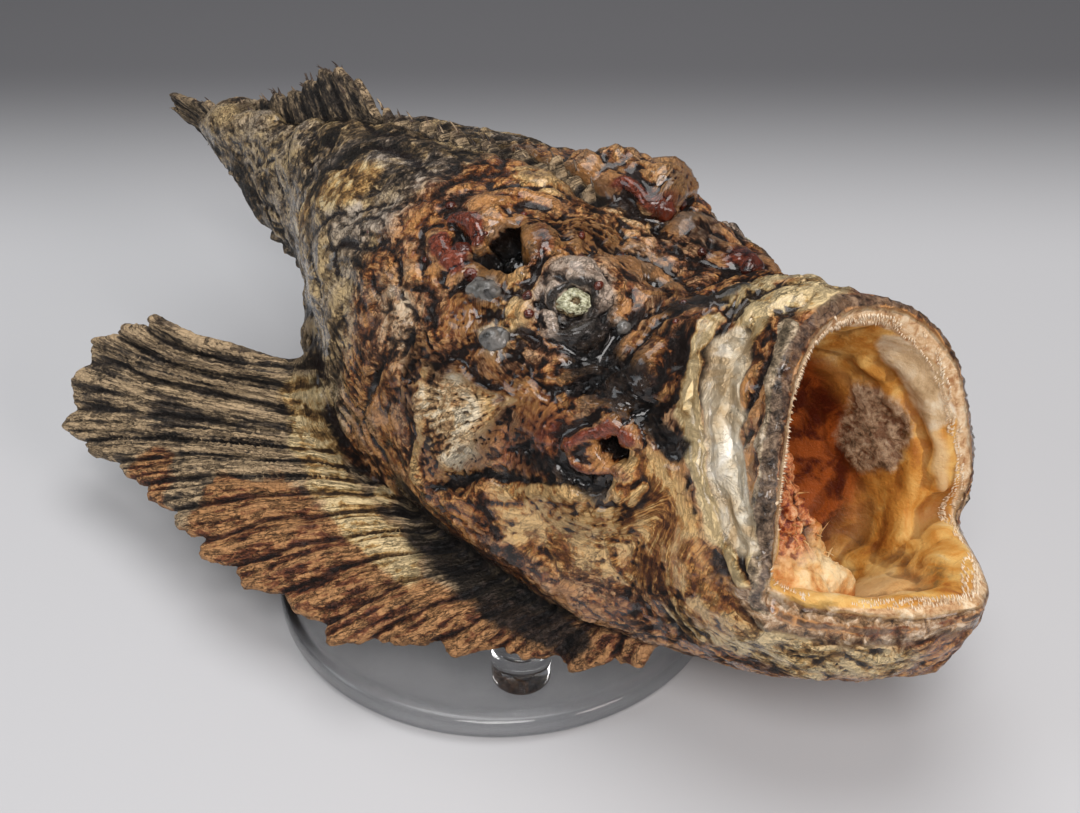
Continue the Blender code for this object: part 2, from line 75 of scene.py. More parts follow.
# ---------------------------------------------------------------------------------------------
# Floor and light. A matt pale sheet lies under the stand and runs into shade behind the fish.
# Wide soft lamps hang over it and in front, with a cool one to the left and a warm one to the right.
# ---------------------------------------------------------------------------------------------
class Value:
    """One shader socket. Sums and products of values add the Math nodes that work them out."""

    def __init__(self, finish, socket):
        self.finish = finish
        self.socket = socket

    def math(self, operation, first, second=0.0, clamp=False):
        """A Math node's result."""
        settings = {"operation": operation, "use_clamp": clamp}
        return self.finish.node("ShaderNodeMath", settings, {0: first, 1: second})

    def __add__(self, other):
        return self.math("ADD", self, other)

    def __sub__(self, other):
        return self.math("SUBTRACT", self, other)

    def __rsub__(self, other):
        return self.math("SUBTRACT", other, self)

    def __mul__(self, other):
        return self.math("MULTIPLY", self, other)

    __radd__ = __add__
    __rmul__ = __mul__

    def __abs__(self):
        return self.math("ABSOLUTE", self)

    def most(self, other):
        return self.math("MAXIMUM", self, other)

    def clamped(self):
        return self.math("ADD", self, 0.0, clamp=True)

    def rise(self, low, high):
        """0 below low, 1 above high, with a smooth rise between."""
        settings = {"interpolation_type": "SMOOTHSTEP"}
        return self.finish.node("ShaderNodeMapRange", settings, {"Value": self, 1: low, 2: high})


class Finish:
    """One material, built a node at a time."""

    def __init__(self, name):
        self.material = bpy.data.materials.new(name)
        self.material.use_nodes = True
        self.tree = self.material.node_tree
        self.tree.nodes.clear()

    def node(self, kind, settings, inputs, output=0):
        """Adds a node with these settings, and values or links on its inputs."""
        made = self.tree.nodes.new(kind)
        for name, value in settings.items():
            if name == "stops":
                ramp = made.color_ramp
                while len(ramp.elements) < len(value):
                    ramp.elements.new(0.5)
                for element, (place, colour) in zip(ramp.elements, value):
                    element.position = place
                    element.color = (*colour, 1.0)
            else:
                setattr(made, name, value)
        for name, value in inputs.items():
            if isinstance(value, Value):
                self.tree.links.new(value.socket, made.inputs[name])
            else:
                made.inputs[name].default_value = value
        return Value(self, made.outputs[output]) if made.outputs else None

    def place(self, stretch=(1.0, 1.0, 1.0)):
        """Object coordinates, stretched where a pattern runs longer one way."""
        plain = self.node("ShaderNodeTexCoord", {}, {}, "Object")
        return self.node("ShaderNodeMapping", {}, {"Vector": plain, "Scale": stretch})

    def noise(self, size, detail=4.0, rough=0.6, warp=0.0, stretch=(1.0, 1.0, 1.0), on=None):
        """Cloudy noise from 0 to 1 with marks of about the given size in metres."""
        inputs = {"Scale": 1 / size, "Detail": detail, "Roughness": rough, "Distortion": warp}
        return self.node("ShaderNodeTexNoise", {}, {"Vector": on or self.place(stretch), **inputs})

    def cell_edges(self, size):
        """How far it is to the edge of the nearest of many cells of about the given size."""
        inputs = {"Vector": self.place(), "Scale": 1 / size}
        return self.node("ShaderNodeTexVoronoi", {"feature": "DISTANCE_TO_EDGE"}, inputs)

    def mark(self, name):
        """A mark stored on the mesh, from 0 to 1."""
        return self.node("ShaderNodeAttribute", {"attribute_name": name}, {}, "Fac")

    def ramp(self, value, *stops):
        """Colours between stops, each a place from 0 to 1 and a colour."""
        return self.node("ShaderNodeValToRGB", {"stops": stops}, {"Fac": value})

    def tones(self, value, *colours):
        """Colours spread evenly over the range that noise mostly lies in."""
        places = np.linspace(0.36, 0.64, len(colours))
        return self.ramp(value, *[(float(place), colour) for place, colour in zip(places, colours)])

    def mix(self, share, first, second):
        """Two colours mixed by a share from 0 to 1."""
        one, two = ((*c, 1.0) if isinstance(c, tuple) else c for c in (first, second))
        return self.node("ShaderNodeMix", {"data_type": "RGBA"}, {0: share, 6: one, 7: two}, 2)

    def bump(self, height, depth):
        """A normal raised by a height from 0 to 1, `depth` metres for the whole of it."""
        return self.node("ShaderNodeBump", {}, {"Height": height, "Distance": depth})

    def surface(self, colour, **inputs):
        """Ends the material in a Principled shader. A socket's name has _ for its spaces."""
        named = {name.replace("_", " "): value for name, value in inputs.items()}
        named["Base Color"] = (*colour, 1.0) if isinstance(colour, tuple) else colour
        shader = self.node("ShaderNodeBsdfPrincipled", {}, named)
        self.node("ShaderNodeOutputMaterial", {}, {"Surface": shader})
        return self.material


FLOOR_SIZE = 6.0
FLOOR_COLOUR = (0.60, 0.605, 0.625)
SHADE_COLOUR = (0.15, 0.15, 0.16)
SHADE_LINE = 0.235
SHADE_WIDTH = 0.09
SHEET_ROUGHNESS = 0.85

# Each lamp's place, width, power and colour
LAMPS = {
    "overhead": ((-0.10, 0.10, 0.95), 0.75, 4.5, (1.0, 0.99, 0.98)),
    "front": ((0.42, -0.42, 0.72), 0.45, 4.2, (1.0, 0.97, 0.95)),
    "cool_left": ((-0.45, -0.75, 0.55), 0.4, 1.1, (0.88, 0.95, 1.0)),
    "warm_right": ((0.85, 0.05, 0.45), 0.35, 2.2, (1.0, 0.90, 0.86)),
}
LAMP_TARGET = Vector((-0.02, 0.02, 0.04))
SKY_COLOUR = (0.80, 0.81, 0.84, 1.0)
SKY_STRENGTH = 0.18

bpy.ops.mesh.primitive_plane_add(size=FLOOR_SIZE)
floor = bpy.context.object
floor.name = "floor"
sheet = Finish("pale_sheet")
across = sheet.node("ShaderNodeTexCoord", {}, {}, "Object")
behind = Vector((CAMERA_TOWARDS.x, CAMERA_TOWARDS.y, 0.0)).normalized()
product = {"operation": "DOT_PRODUCT"}
depth = sheet.node("ShaderNodeVectorMath", product, {0: across, 1: behind}, "Value")
shade = depth.rise(SHADE_LINE - SHADE_WIDTH, SHADE_LINE + SHADE_WIDTH)
sheet_colour = sheet.mix(shade, FLOOR_COLOUR, SHADE_COLOUR)
floor.data.materials.append(sheet.surface(sheet_colour, Roughness=SHEET_ROUGHNESS))

for name, (place, size, power, colour) in LAMPS.items():
    lamp_data = bpy.data.lights.new(name, "AREA")
    lamp_data.shape = "DISK"
    lamp_data.size = size
    lamp_data.energy = power
    lamp_data.color = colour
    lamp = bpy.data.objects.new(name, lamp_data)
    lamp.location = place
    lamp.rotation_euler = (LAMP_TARGET - Vector(place)).to_track_quat("-Z", "Y").to_euler()
    scene.collection.objects.link(lamp)

world = bpy.data.worlds.new("studio")
world.use_nodes = True
sky = world.node_tree.nodes["Background"]
sky.inputs["Color"].default_value = SKY_COLOUR
sky.inputs["Strength"].default_value = SKY_STRENGTH
scene.world = world
scene.view_settings.view_transform = "Standard"


# ---------------------------------------------------------------------------------------------
# Stand. A polished clear acrylic disc with a round edge, and three short clear pegs on it that
# hold the fish's belly and fins off the disc.
# ---------------------------------------------------------------------------------------------
DISC_EDGE = 0.0020
DISC_SIDES = 160
PEG_EDGE = 0.0012
PEG_SIDES = 64
EDGE_SEGMENTS = 6
SHARP_ANGLE = math.radians(35)
DISC_LOW, DISC_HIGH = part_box("stand_base")
DISC_RADIUS = (DISC_HIGH.x - DISC_LOW.x) / 2
RIM_FROM = DISC_RADIUS - 0.0045
RIM_TO = DISC_RADIUS - 0.0025
PEG_FADE = 0.0002
FLAT_ALPHA = 0.24
EDGE_ALPHA = 0.98
ACRYLIC_COLOUR = (0.965, 0.975, 0.985)


def apply_modifier(piece, kind, **settings):
    """Adds a modifier with these settings and applies it."""
    modifier = piece.modifiers.new(kind.lower(), kind)
    for name, value in settings.items():
        setattr(modifier, name, value)
    bpy.context.view_layer.objects.active = piece
    bpy.ops.object.modifier_apply(modifier=modifier.name)


def finish_piece(piece, finish, slot, *nodes):
    """Gives a piece its material and its body, and hides the nodes that it stands for. The slot is not
    used.
    """
    piece.data.materials.clear()
    piece.data.materials.append(finish)
    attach(piece, "root")
    if nodes:
        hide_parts(*nodes)


def turned_block(name, node, sides, edge):
    """A round upright block that fills a node's box, with rounded edges."""
    low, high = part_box(node)
    bpy.ops.object.select_all(action="DESELECT")
    radius = (high.x - low.x) / 2
    bpy.ops.mesh.primitive_cylinder_add(
        vertices=sides, radius=radius, depth=high.z - low.z, location=(low + high) / 2
    )
    block = bpy.context.object
    block.name = name
    bpy.ops.object.transform_apply(location=True, rotation=False, scale=False)
    apply_modifier(block, "BEVEL", width=edge, segments=EDGE_SEGMENTS, limit_method="ANGLE")
    bpy.ops.object.shade_smooth_by_angle(angle=SHARP_ANGLE)
    return block


def acrylic_finish():
    """Clear cast acrylic: the flats are looked straight through, and the round edges bend the light."""
    clear = Finish("clear_acrylic")
    scuffs = clear.noise(0.012, detail=6.0, stretch=(1.0, 6.0, 1.0)).rise(0.62, 0.8)
    flat_place = clear.place((1, 1, 0))
    spread = clear.node("ShaderNodeVectorMath", {"operation": "LENGTH"}, {0: flat_place}, "Value")
    height = clear.node("ShaderNodeSeparateXYZ", {}, {0: clear.place()}, 2)
    peg = height.rise(DISC_HIGH.z, DISC_HIGH.z + PEG_FADE)
    return clear.surface(
        ACRYLIC_COLOUR,
        Roughness=scuffs * 0.05 + 0.02,
        IOR=1.49,
        Transmission_Weight=1.0,
        Specular_IOR_Level=0.8,
        Alpha=spread.rise(RIM_FROM, RIM_TO).most(peg) * (EDGE_ALPHA - FLAT_ALPHA) + FLAT_ALPHA,
    )


acrylic = acrylic_finish()
disc = turned_block("clear_disc", "stand_base", DISC_SIDES, DISC_EDGE)
finish_piece(disc, acrylic, "clear_acrylic", "stand_base")
for node in ("stand_peg_1", "stand_peg_2", "stand_peg_3"):
    peg = turned_block(node.replace("stand", "clear"), node, PEG_SIDES, PEG_EDGE)
    finish_piece(peg, acrylic, "clear_acrylic", node)


# ---------------------------------------------------------------------------------------------
# Skin. The whole fish is one sun-dried hide, shrunk tight over the skull, the gill covers and
# the fin rays, and carried in over the lips as the pale lining of the mouth.
# ---------------------------------------------------------------------------------------------
MM = 0.001

# How the fish lies on its stand: its lean to one side, and its shift in millimetres
FISH_ROLL = math.radians(-7.0)
FISH_PLACE = np.array([-2.0, 13.8, 0.3])

# The plain form, in metres: its growth closes the thin cuts between the nodes of flesh
SEAM_GROWTH = 0.00030
GRAIN_OF_SKIN = 0.00070
DOUBLES = 1e-6
SKIN_TRIANGLES = 196000
FLESH = [
    "head", "trunk", "tail", "gill_cover_left", "gill_cover_right", "lower_jaw", "upper_jaw",
    "maxilla_left", "maxilla_right", "pectoral_fin_left", "pectoral_fin_right",
    "dorsal_fin_spines", "dorsal_fin_soft", "anal_fin", "caudal_fin", "pelvic_fin_left",
    "pelvic_fin_right",
]  # fmt: skip

# Middle line of the mouth from the throat to the lips
MOUTH_LINE = [(22, 0, 50), (40, 1, 49), (54, 2, 50), (64, 4, 53), (72, 5, 59), (95, 5, 66)]
MOUTH_REACH = 44.0

# Rim of the lips down the right side from the middle of the upper jaw, and down the left
LIP_RIGHT = [
    (66, 4, 93.5), (68, -7, 92.5), (71.5, -16.5, 87.5), (75.7, -22.5, 79), (79, -26, 68.5),
    (83, -28, 56.5), (82.5, -26.5, 47), (96.5, -14.5, 45), (109, 4.5, 47.5),
]  # fmt: skip
LIP_LEFT = [
    (66, 4, 93.5), (69, 15, 92.5), (73.5, 24.5, 87), (78.3, 30.5, 78), (82, 34, 65.5),
    (86, 36, 52.5), (85.5, 34.5, 43), (98.5, 23.5, 43), (109, 5.5, 47.5),
]  # fmt: skip

# Each fin's root line and edge line from its first ray to its last, and its count of rays
PECTORAL = (
    [(-43, -34, 38), (-28, -36, 31), (-9, -35, 25), (12, -31, 22), (33, -26, 20), (54, -14, 19)],
    [
        (-80, -57, 43), (-102, -66, 28), (-94, -75, 12), (-66, -73, 11), (-33, -74, 11),
        (-14, -71.5, 10), (7, -68, 9), (22, -56, 10.5), (33, -46, 11), (45, -37, 12), (58, -26, 15),
    ],
    17,
)  # fmt: skip
PELVIC = ([(6, -4, 18), (5, -9, 18), (0, -14, 18)], [(-32, -12, 14), (-40, -24, 13), (-28, -33, 14)], 5)
MIDDLE_FINS = {
    "spines": (
        [(3, 2, 87), (-6, 2, 88), (-20, 1, 88), (-45, 0, 86), (-64, 0, 82)],
        [(0, 3, 98), (-9, 2, 100), (-22, 0, 100), (-47, 0, 96), (-70, 0, 94)],
        13,
    ),
    "soft": (
        [(-62, 0, 80), (-80, 0, 76), (-100, 0, 70), (-124, 0, 64)],
        [(-80, 0, 94), (-93, 0, 95), (-106, 0, 89), (-134, 0, 75)],
        7,
    ),
    "anal": (
        [(-78, 0, 38), (-95, 0, 44), (-118, 0, 50)],
        [(-93, 0, 30), (-110, 0, 34), (-132, 0, 45)],
        7,
    ),
    "tail": (
        [(-140, 0, 62), (-139, 0, 58), (-140, 0, 54)],
        [(-150, 0, 69), (-173, 0, 61), (-165, 0, 57.5), (-172, 0, 54), (-152, 0, 48.5)],
        4,
    ),
}

# Each fin with its thickness, whether it is the far one of a pair, and how far its rays have
# shrunk towards their root: a share for the first ray, and what each further ray adds
FINS = [
    (PECTORAL, False, 8.5, 0.0, 0.0), (PECTORAL, True, 8.5, 0.0, 0.0),
    (PELVIC, False, 3.2, 0.0, 0.0), (PELVIC, True, 3.2, 0.0, 0.0),
    (MIDDLE_FINS["spines"], False, 3.0, 0.5, 0.0), (MIDDLE_FINS["soft"], False, 3.0, 0.12, 0.02),
    (MIDDLE_FINS["anal"], False, 3.0, 0.0, 0.0), (MIDDLE_FINS["tail"], False, 3.0, 0.0, 0.0),
]  # fmt: skip

# The far fin is raised past this distance from the middle, and every ray's end is torn or notched
FAR_FIN_LIFT = 0.25
FLANK = 33.0
RAY_FRAY = 2.3
RAY_NOTCH = 1.3
FIN_ROOT = (0.04, 0.16)
RUSTY_RAYS = (4.5, 8.5)
RUSTY_OUTWARD = (0.3, 0.6)

# The grid on each fin that gives a point its place there, and how far off it still counts
RAY_STEPS = 8
OUTWARD_STEPS = 36
FIN_REACH = 9.0
FAR_OFF = 99.0

# Places along the fish, up it or off its lips, in millimetres, between which the skin changes
WAIST_FRONT, WAIST_BACK = (-28, -50), (-118, -92)
BELLY = (66, 40)
WAIST_TUCK = 4.5
TAIL_LINE = 61.0
TAIL_POINT, TAIL_TIP = (-128, -158), (-144, -156)
HEAD_BACK, TRUNK_FRONT = (-30, -5), (-8, -40)
TOP_OF_HEAD, TOP_OF_SIDES = (62, 78), (66, 84)
UPPER_LIP, LOWER_LIP = (76, 86), (58, 48)
TEETH_BAND, LIP_BAND = (4.4, 3.0), (1.8, 0.9)
CRUST_BAND, TAUT_BAND = (4.5, 1.8), (5.0, 3.0)
ROUND_EYES, ROUND_CHEEKS, ROUND_LIPS = (26, 14), (20, 10), (30, 14)


def upright(points):
    """Model points in metres, as points of the upright fish in millimetres."""
    moved = points / MM - FISH_PLACE
    y, z = moved[:, 1].copy(), moved[:, 2].copy()
    moved[:, 1] = y * math.cos(FISH_ROLL) + z * math.sin(FISH_ROLL)
    moved[:, 2] = z * math.cos(FISH_ROLL) - y * math.sin(FISH_ROLL)
    return moved


def leaning(points):
    """The way back: points of the upright fish in millimetres, as model points in metres."""
    turned = np.array(points, float)
    y, z = turned[:, 1].copy(), turned[:, 2].copy()
    turned[:, 1] = y * math.cos(FISH_ROLL) - z * math.sin(FISH_ROLL)
    turned[:, 2] = z * math.cos(FISH_ROLL) + y * math.sin(FISH_ROLL)
    return (turned + FISH_PLACE) * MM


def smooth(low, high, value):
    """0 below low, 1 above high, with a smooth rise between. It falls where high is below low."""
    share = np.clip((value - low) / (high - low), 0, 1)
    return share * share * (3 - 2 * share)


def lattice(cell, seed):
    """A whole number that looks random, for each cell of space."""
    mixed = (cell * np.array([73856093, 19349663, 83492791])).sum(1) + seed * 2654435761
    mixed = (mixed ^ (mixed >> 13)) * 1274126177 & 0x7FFFFFFF
    return mixed ^ (mixed >> 16)


GRADIENTS = np.array([
    (x, y, z)
    for x in (-1, 0, 1) for y in (-1, 0, 1) for z in (-1, 0, 1)
    if abs(x) + abs(y) + abs(z) == 2
], float)  # fmt: skip


def clouds(points, size, seed, stretch=(1.0, 1.0, 1.0)):
    """Smooth noise between about -1 and 1, with marks of the given size."""
    scaled = points * np.array(stretch) / size + seed * 7.31
    cell = np.floor(scaled).astype(np.int64)
    local = scaled - cell
    fade = local**3 * (local * (local * 6 - 15) + 10)
    total = np.zeros(len(points))
    for corner in np.ndindex(2, 2, 2):
        gradient = GRADIENTS[lattice(cell + corner, seed) % len(GRADIENTS)]
        reach = (gradient * (local - corner)).sum(1)
        share = np.prod(np.where(corner, fade, 1 - fade), axis=1)
        total += reach * share
    return total * 1.4


def warped(points, size, amount, seed):
    """The points, each shifted by noise, so that what is drawn on them wanders."""
    shift = [clouds(points, size, seed + axis) for axis in range(3)]
    return points + np.stack(shift, axis=1) * amount


def creases(points, size, seed, stretch=(1.0, 1.0, 1.0)):
    """Round lumps from 0 to 1, parted by sharp creases."""
    wandering = warped(points, size * 1.3, size * 0.35, seed + 5)
    return np.clip(np.abs(clouds(wandering, size, seed, stretch)) * 1.7, 0, 1)


def lengths(vectors):
    """The length of each row."""
    return np.linalg.norm(vectors, axis=1)


def line_distance(points, path):
    """Distance of each point to a line through the path's points."""
    path = np.asarray(path, float)
    if len(path) == 1:
        return lengths(points - path[0])
    least = np.full(len(points), np.inf)
    for start, end in zip(path, path[1:]):
        run = end - start
        share = np.clip((points - start) @ run / (run @ run), 0, 1)
        least = np.minimum(least, lengths(points - start - share[:, None] * run))
    return least


def smooth_line(points, spans):
    """Evenly spread points along a smooth curve through the given ones."""
    points = np.asarray(points, float)
    ends = np.concatenate([[2 * points[0] - points[1]], points, [2 * points[-1] - points[-2]]])
    fine = []
    for before, start, end, after in zip(ends, ends[1:], ends[2:], ends[3:]):
        for t in np.arange(24) / 24:
            bend = 2 * before - 5 * start + 4 * end - after
            twist = 3 * start - before - 3 * end + after
            fine.append(start + 0.5 * ((end - before) * t + bend * t**2 + twist * t**3))
    fine = np.array([*fine, points[-1]])
    run = np.concatenate([[0], np.cumsum(lengths(np.diff(fine, axis=0)))])
    wanted = np.linspace(0, run[-1], spans + 1)
    return np.stack([np.interp(wanted, run, fine[:, axis]) for axis in range(3)], axis=1)


def nearest_tree(points):
    """A search tree of points."""
    tree = KDTree(len(points))
    for index, place in enumerate(points):
        tree.insert(place, index)
    tree.balance()
    return tree


class Hide:
    """A closed mesh of four-sided faces held as arrays, in the upright fish's millimetres."""

    def __init__(self, piece):
        self.mesh = piece.data
        flat = np.empty(len(self.mesh.vertices) * 3, np.float32)
        self.mesh.vertices.foreach_get("co", flat)
        self.points = upright(flat.reshape(-1, 3).astype(float))
        corners = np.empty(len(self.mesh.loops), np.int32)
        self.mesh.loops.foreach_get("vertex_index", corners)
        self.faces = corners.reshape(-1, 4)
        edges = np.empty(len(self.mesh.edges) * 2, np.int32)
        self.mesh.edges.foreach_get("vertices", edges)
        edges = edges.reshape(-1, 2)
        ends = np.concatenate([edges, edges[:, ::-1]])
        order = np.argsort(ends[:, 0], kind="stable")
        self.neighbours = ends[order, 1]
        self.counts = np.bincount(ends[:, 0], minlength=len(self.points))
        self.starts = np.concatenate([[0], np.cumsum(self.counts)[:-1]])
        self.marks = {}

    def around(self, values):
        """The mean of each point's neighbours."""
        total = np.add.reduceat(values[self.neighbours], self.starts, axis=0)
        return total / self.counts.reshape(-1, *[1] * (values.ndim - 1))

    def relax(self, times, share):
        """Moves each point a share of the way to the mean of its neighbours, a few times over."""
        for _ in range(times):
            self.points += (self.around(self.points) - self.points) * share

    def blurred(self, values, times):
        """The values, smoothed out over the mesh."""
        for _ in range(times):
            values = (values + self.around(values)) / 2
        return values

    def normals(self):
        """The way out at each point."""
        a, b, c, d = (self.points[self.faces[:, k]] for k in range(4))
        facing = np.cross(c - a, d - b)
        total = np.zeros_like(self.points)
        for axis in range(3):
            for corner in range(4):
                total[:, axis] += np.bincount(
                    self.faces[:, corner], weights=facing[:, axis], minlength=len(self.points)
                )
        return total / np.maximum(np.linalg.norm(total, axis=1, keepdims=True), 1e-9)

    def push(self, height):
        """Moves each point out along the skin's normal by a height in millimetres."""
        self.points += self.normals() * height[:, None]

    def paint(self, strength, **amounts):
        """Raises each named mark to its amount where the strength is 1."""
        for name, amount in amounts.items():
            self.marks[name] = np.maximum(self.marks.get(name, 0.0), amount * strength)

    def store(self):
        """Writes the points and the marks to the mesh."""
        self.mesh.vertices.foreach_set("co", leaning(self.points).astype(np.float32).ravel())
        for name, values in self.marks.items():
            if values.ndim == 2:
                layer = self.mesh.attributes.new(name, "FLOAT_VECTOR", "POINT")
                layer.data.foreach_set("vector", values.astype(np.float32).ravel())
                continue
            layer = self.mesh.attributes.new(name, "FLOAT", "POINT")
            layer.data.foreach_set("value", np.clip(values, 0, 1).astype(np.float32))
        self.mesh.update()


def piece_from(name, form):
    """A new object that holds the form's mesh."""
    mesh = bpy.data.meshes.new(name)
    form.to_mesh(mesh)
    form.free()
    piece = bpy.data.objects.new(name, mesh)
    scene.collection.objects.link(piece)
    return piece


def smooth_shaded(piece):
    """The piece, alone selected and shaded smooth."""
    bpy.ops.object.select_all(action="DESELECT")
    piece.select_set(True)
    bpy.context.view_layer.objects.active = piece
    bpy.ops.object.shade_smooth()
    return piece


def merged_flesh(name, nodes, grain):
    """One closed mesh of small even faces round all the given nodes."""
    form = bmesh.new()
    for node in nodes:
        form.from_mesh(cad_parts[node].data)
    bmesh.ops.remove_doubles(form, verts=form.verts[:], dist=DOUBLES)
    piece = piece_from(name, form)
    apply_modifier(piece, "DISPLACE", strength=SEAM_GROWTH, mid_level=0.0)
    apply_modifier(piece, "REMESH", mode="VOXEL", voxel_size=grain)
    return piece


def fin_places(points, fin, mirror):
    """Each point's place on a fin: its ray, its share of the way out, how far it is off the fin and
    the way out there, with the rays' mean length and the width between two of them."""
    root, edge, rays = fin
    if mirror:
        root, edge = (
            [(x, -y, z + FAR_FIN_LIFT * max(0, -y - FLANK)) for x, y, z in line] for line in (root, edge)
        )
    across, along = rays * RAY_STEPS, OUTWARD_STEPS
    root, edge = smooth_line(root, across), smooth_line(edge, across)
    share = np.linspace(0, 1, along + 1)[:, None, None]
    sheet = root + (edge - root) * share
    flat = sheet.reshape(-1, 3)
    tree = nearest_tree(flat)
    near = (points > flat.min(0) - FIN_REACH) & (points < flat.max(0) + FIN_REACH)
    inside = np.flatnonzero(near.all(1))
    nearest = np.array([tree.find(place)[1] for place in points[inside]])
    row, column = nearest // (across + 1), nearest % (across + 1)
    # The rest of the way from the nearest grid point, in the two directions of the grid
    one, two = np.gradient(sheet, axis=1)[row, column], np.gradient(sheet, axis=0)[row, column]
    off = points[inside] - flat[nearest]
    a, b, c = (one * one).sum(1) + 0.01, (one * two).sum(1), (two * two).sum(1) + 0.01
    first, second = (off * one).sum(1), (off * two).sum(1)
    ray_step = np.clip((c * first - b * second) / (a * c - b * b), -1, 1)
    out_step = np.clip((a * second - b * first) / (a * c - b * b), -1, 1)
    found = np.zeros((3, len(points)))
    found[2] = FAR_OFF
    found[0, inside] = (column + ray_step) / RAY_STEPS
    found[1, inside] = (row + out_step) / along
    found[2, inside] = lengths(off - one * ray_step[:, None] - two * out_step[:, None])
    directions = np.zeros_like(points)
    directions[inside] = ((edge - root) / lengths(edge - root)[:, None])[column]
    width = lengths(np.diff(edge * 0.6 + root * 0.4, axis=0)).sum()
    return *found, directions, lengths(edge - root).mean(), width / rays


# Where the larger beads sit, each on a swelling of the skin
BLUE_BEAD, PEARL_BEAD = (9, -31.9, 80.4), (16, -35.2, 74)
SNOUT_BEAD, SNOUT_WART = (35.1, -19.8, 80.8), (35.2, 13.8, 85.1)
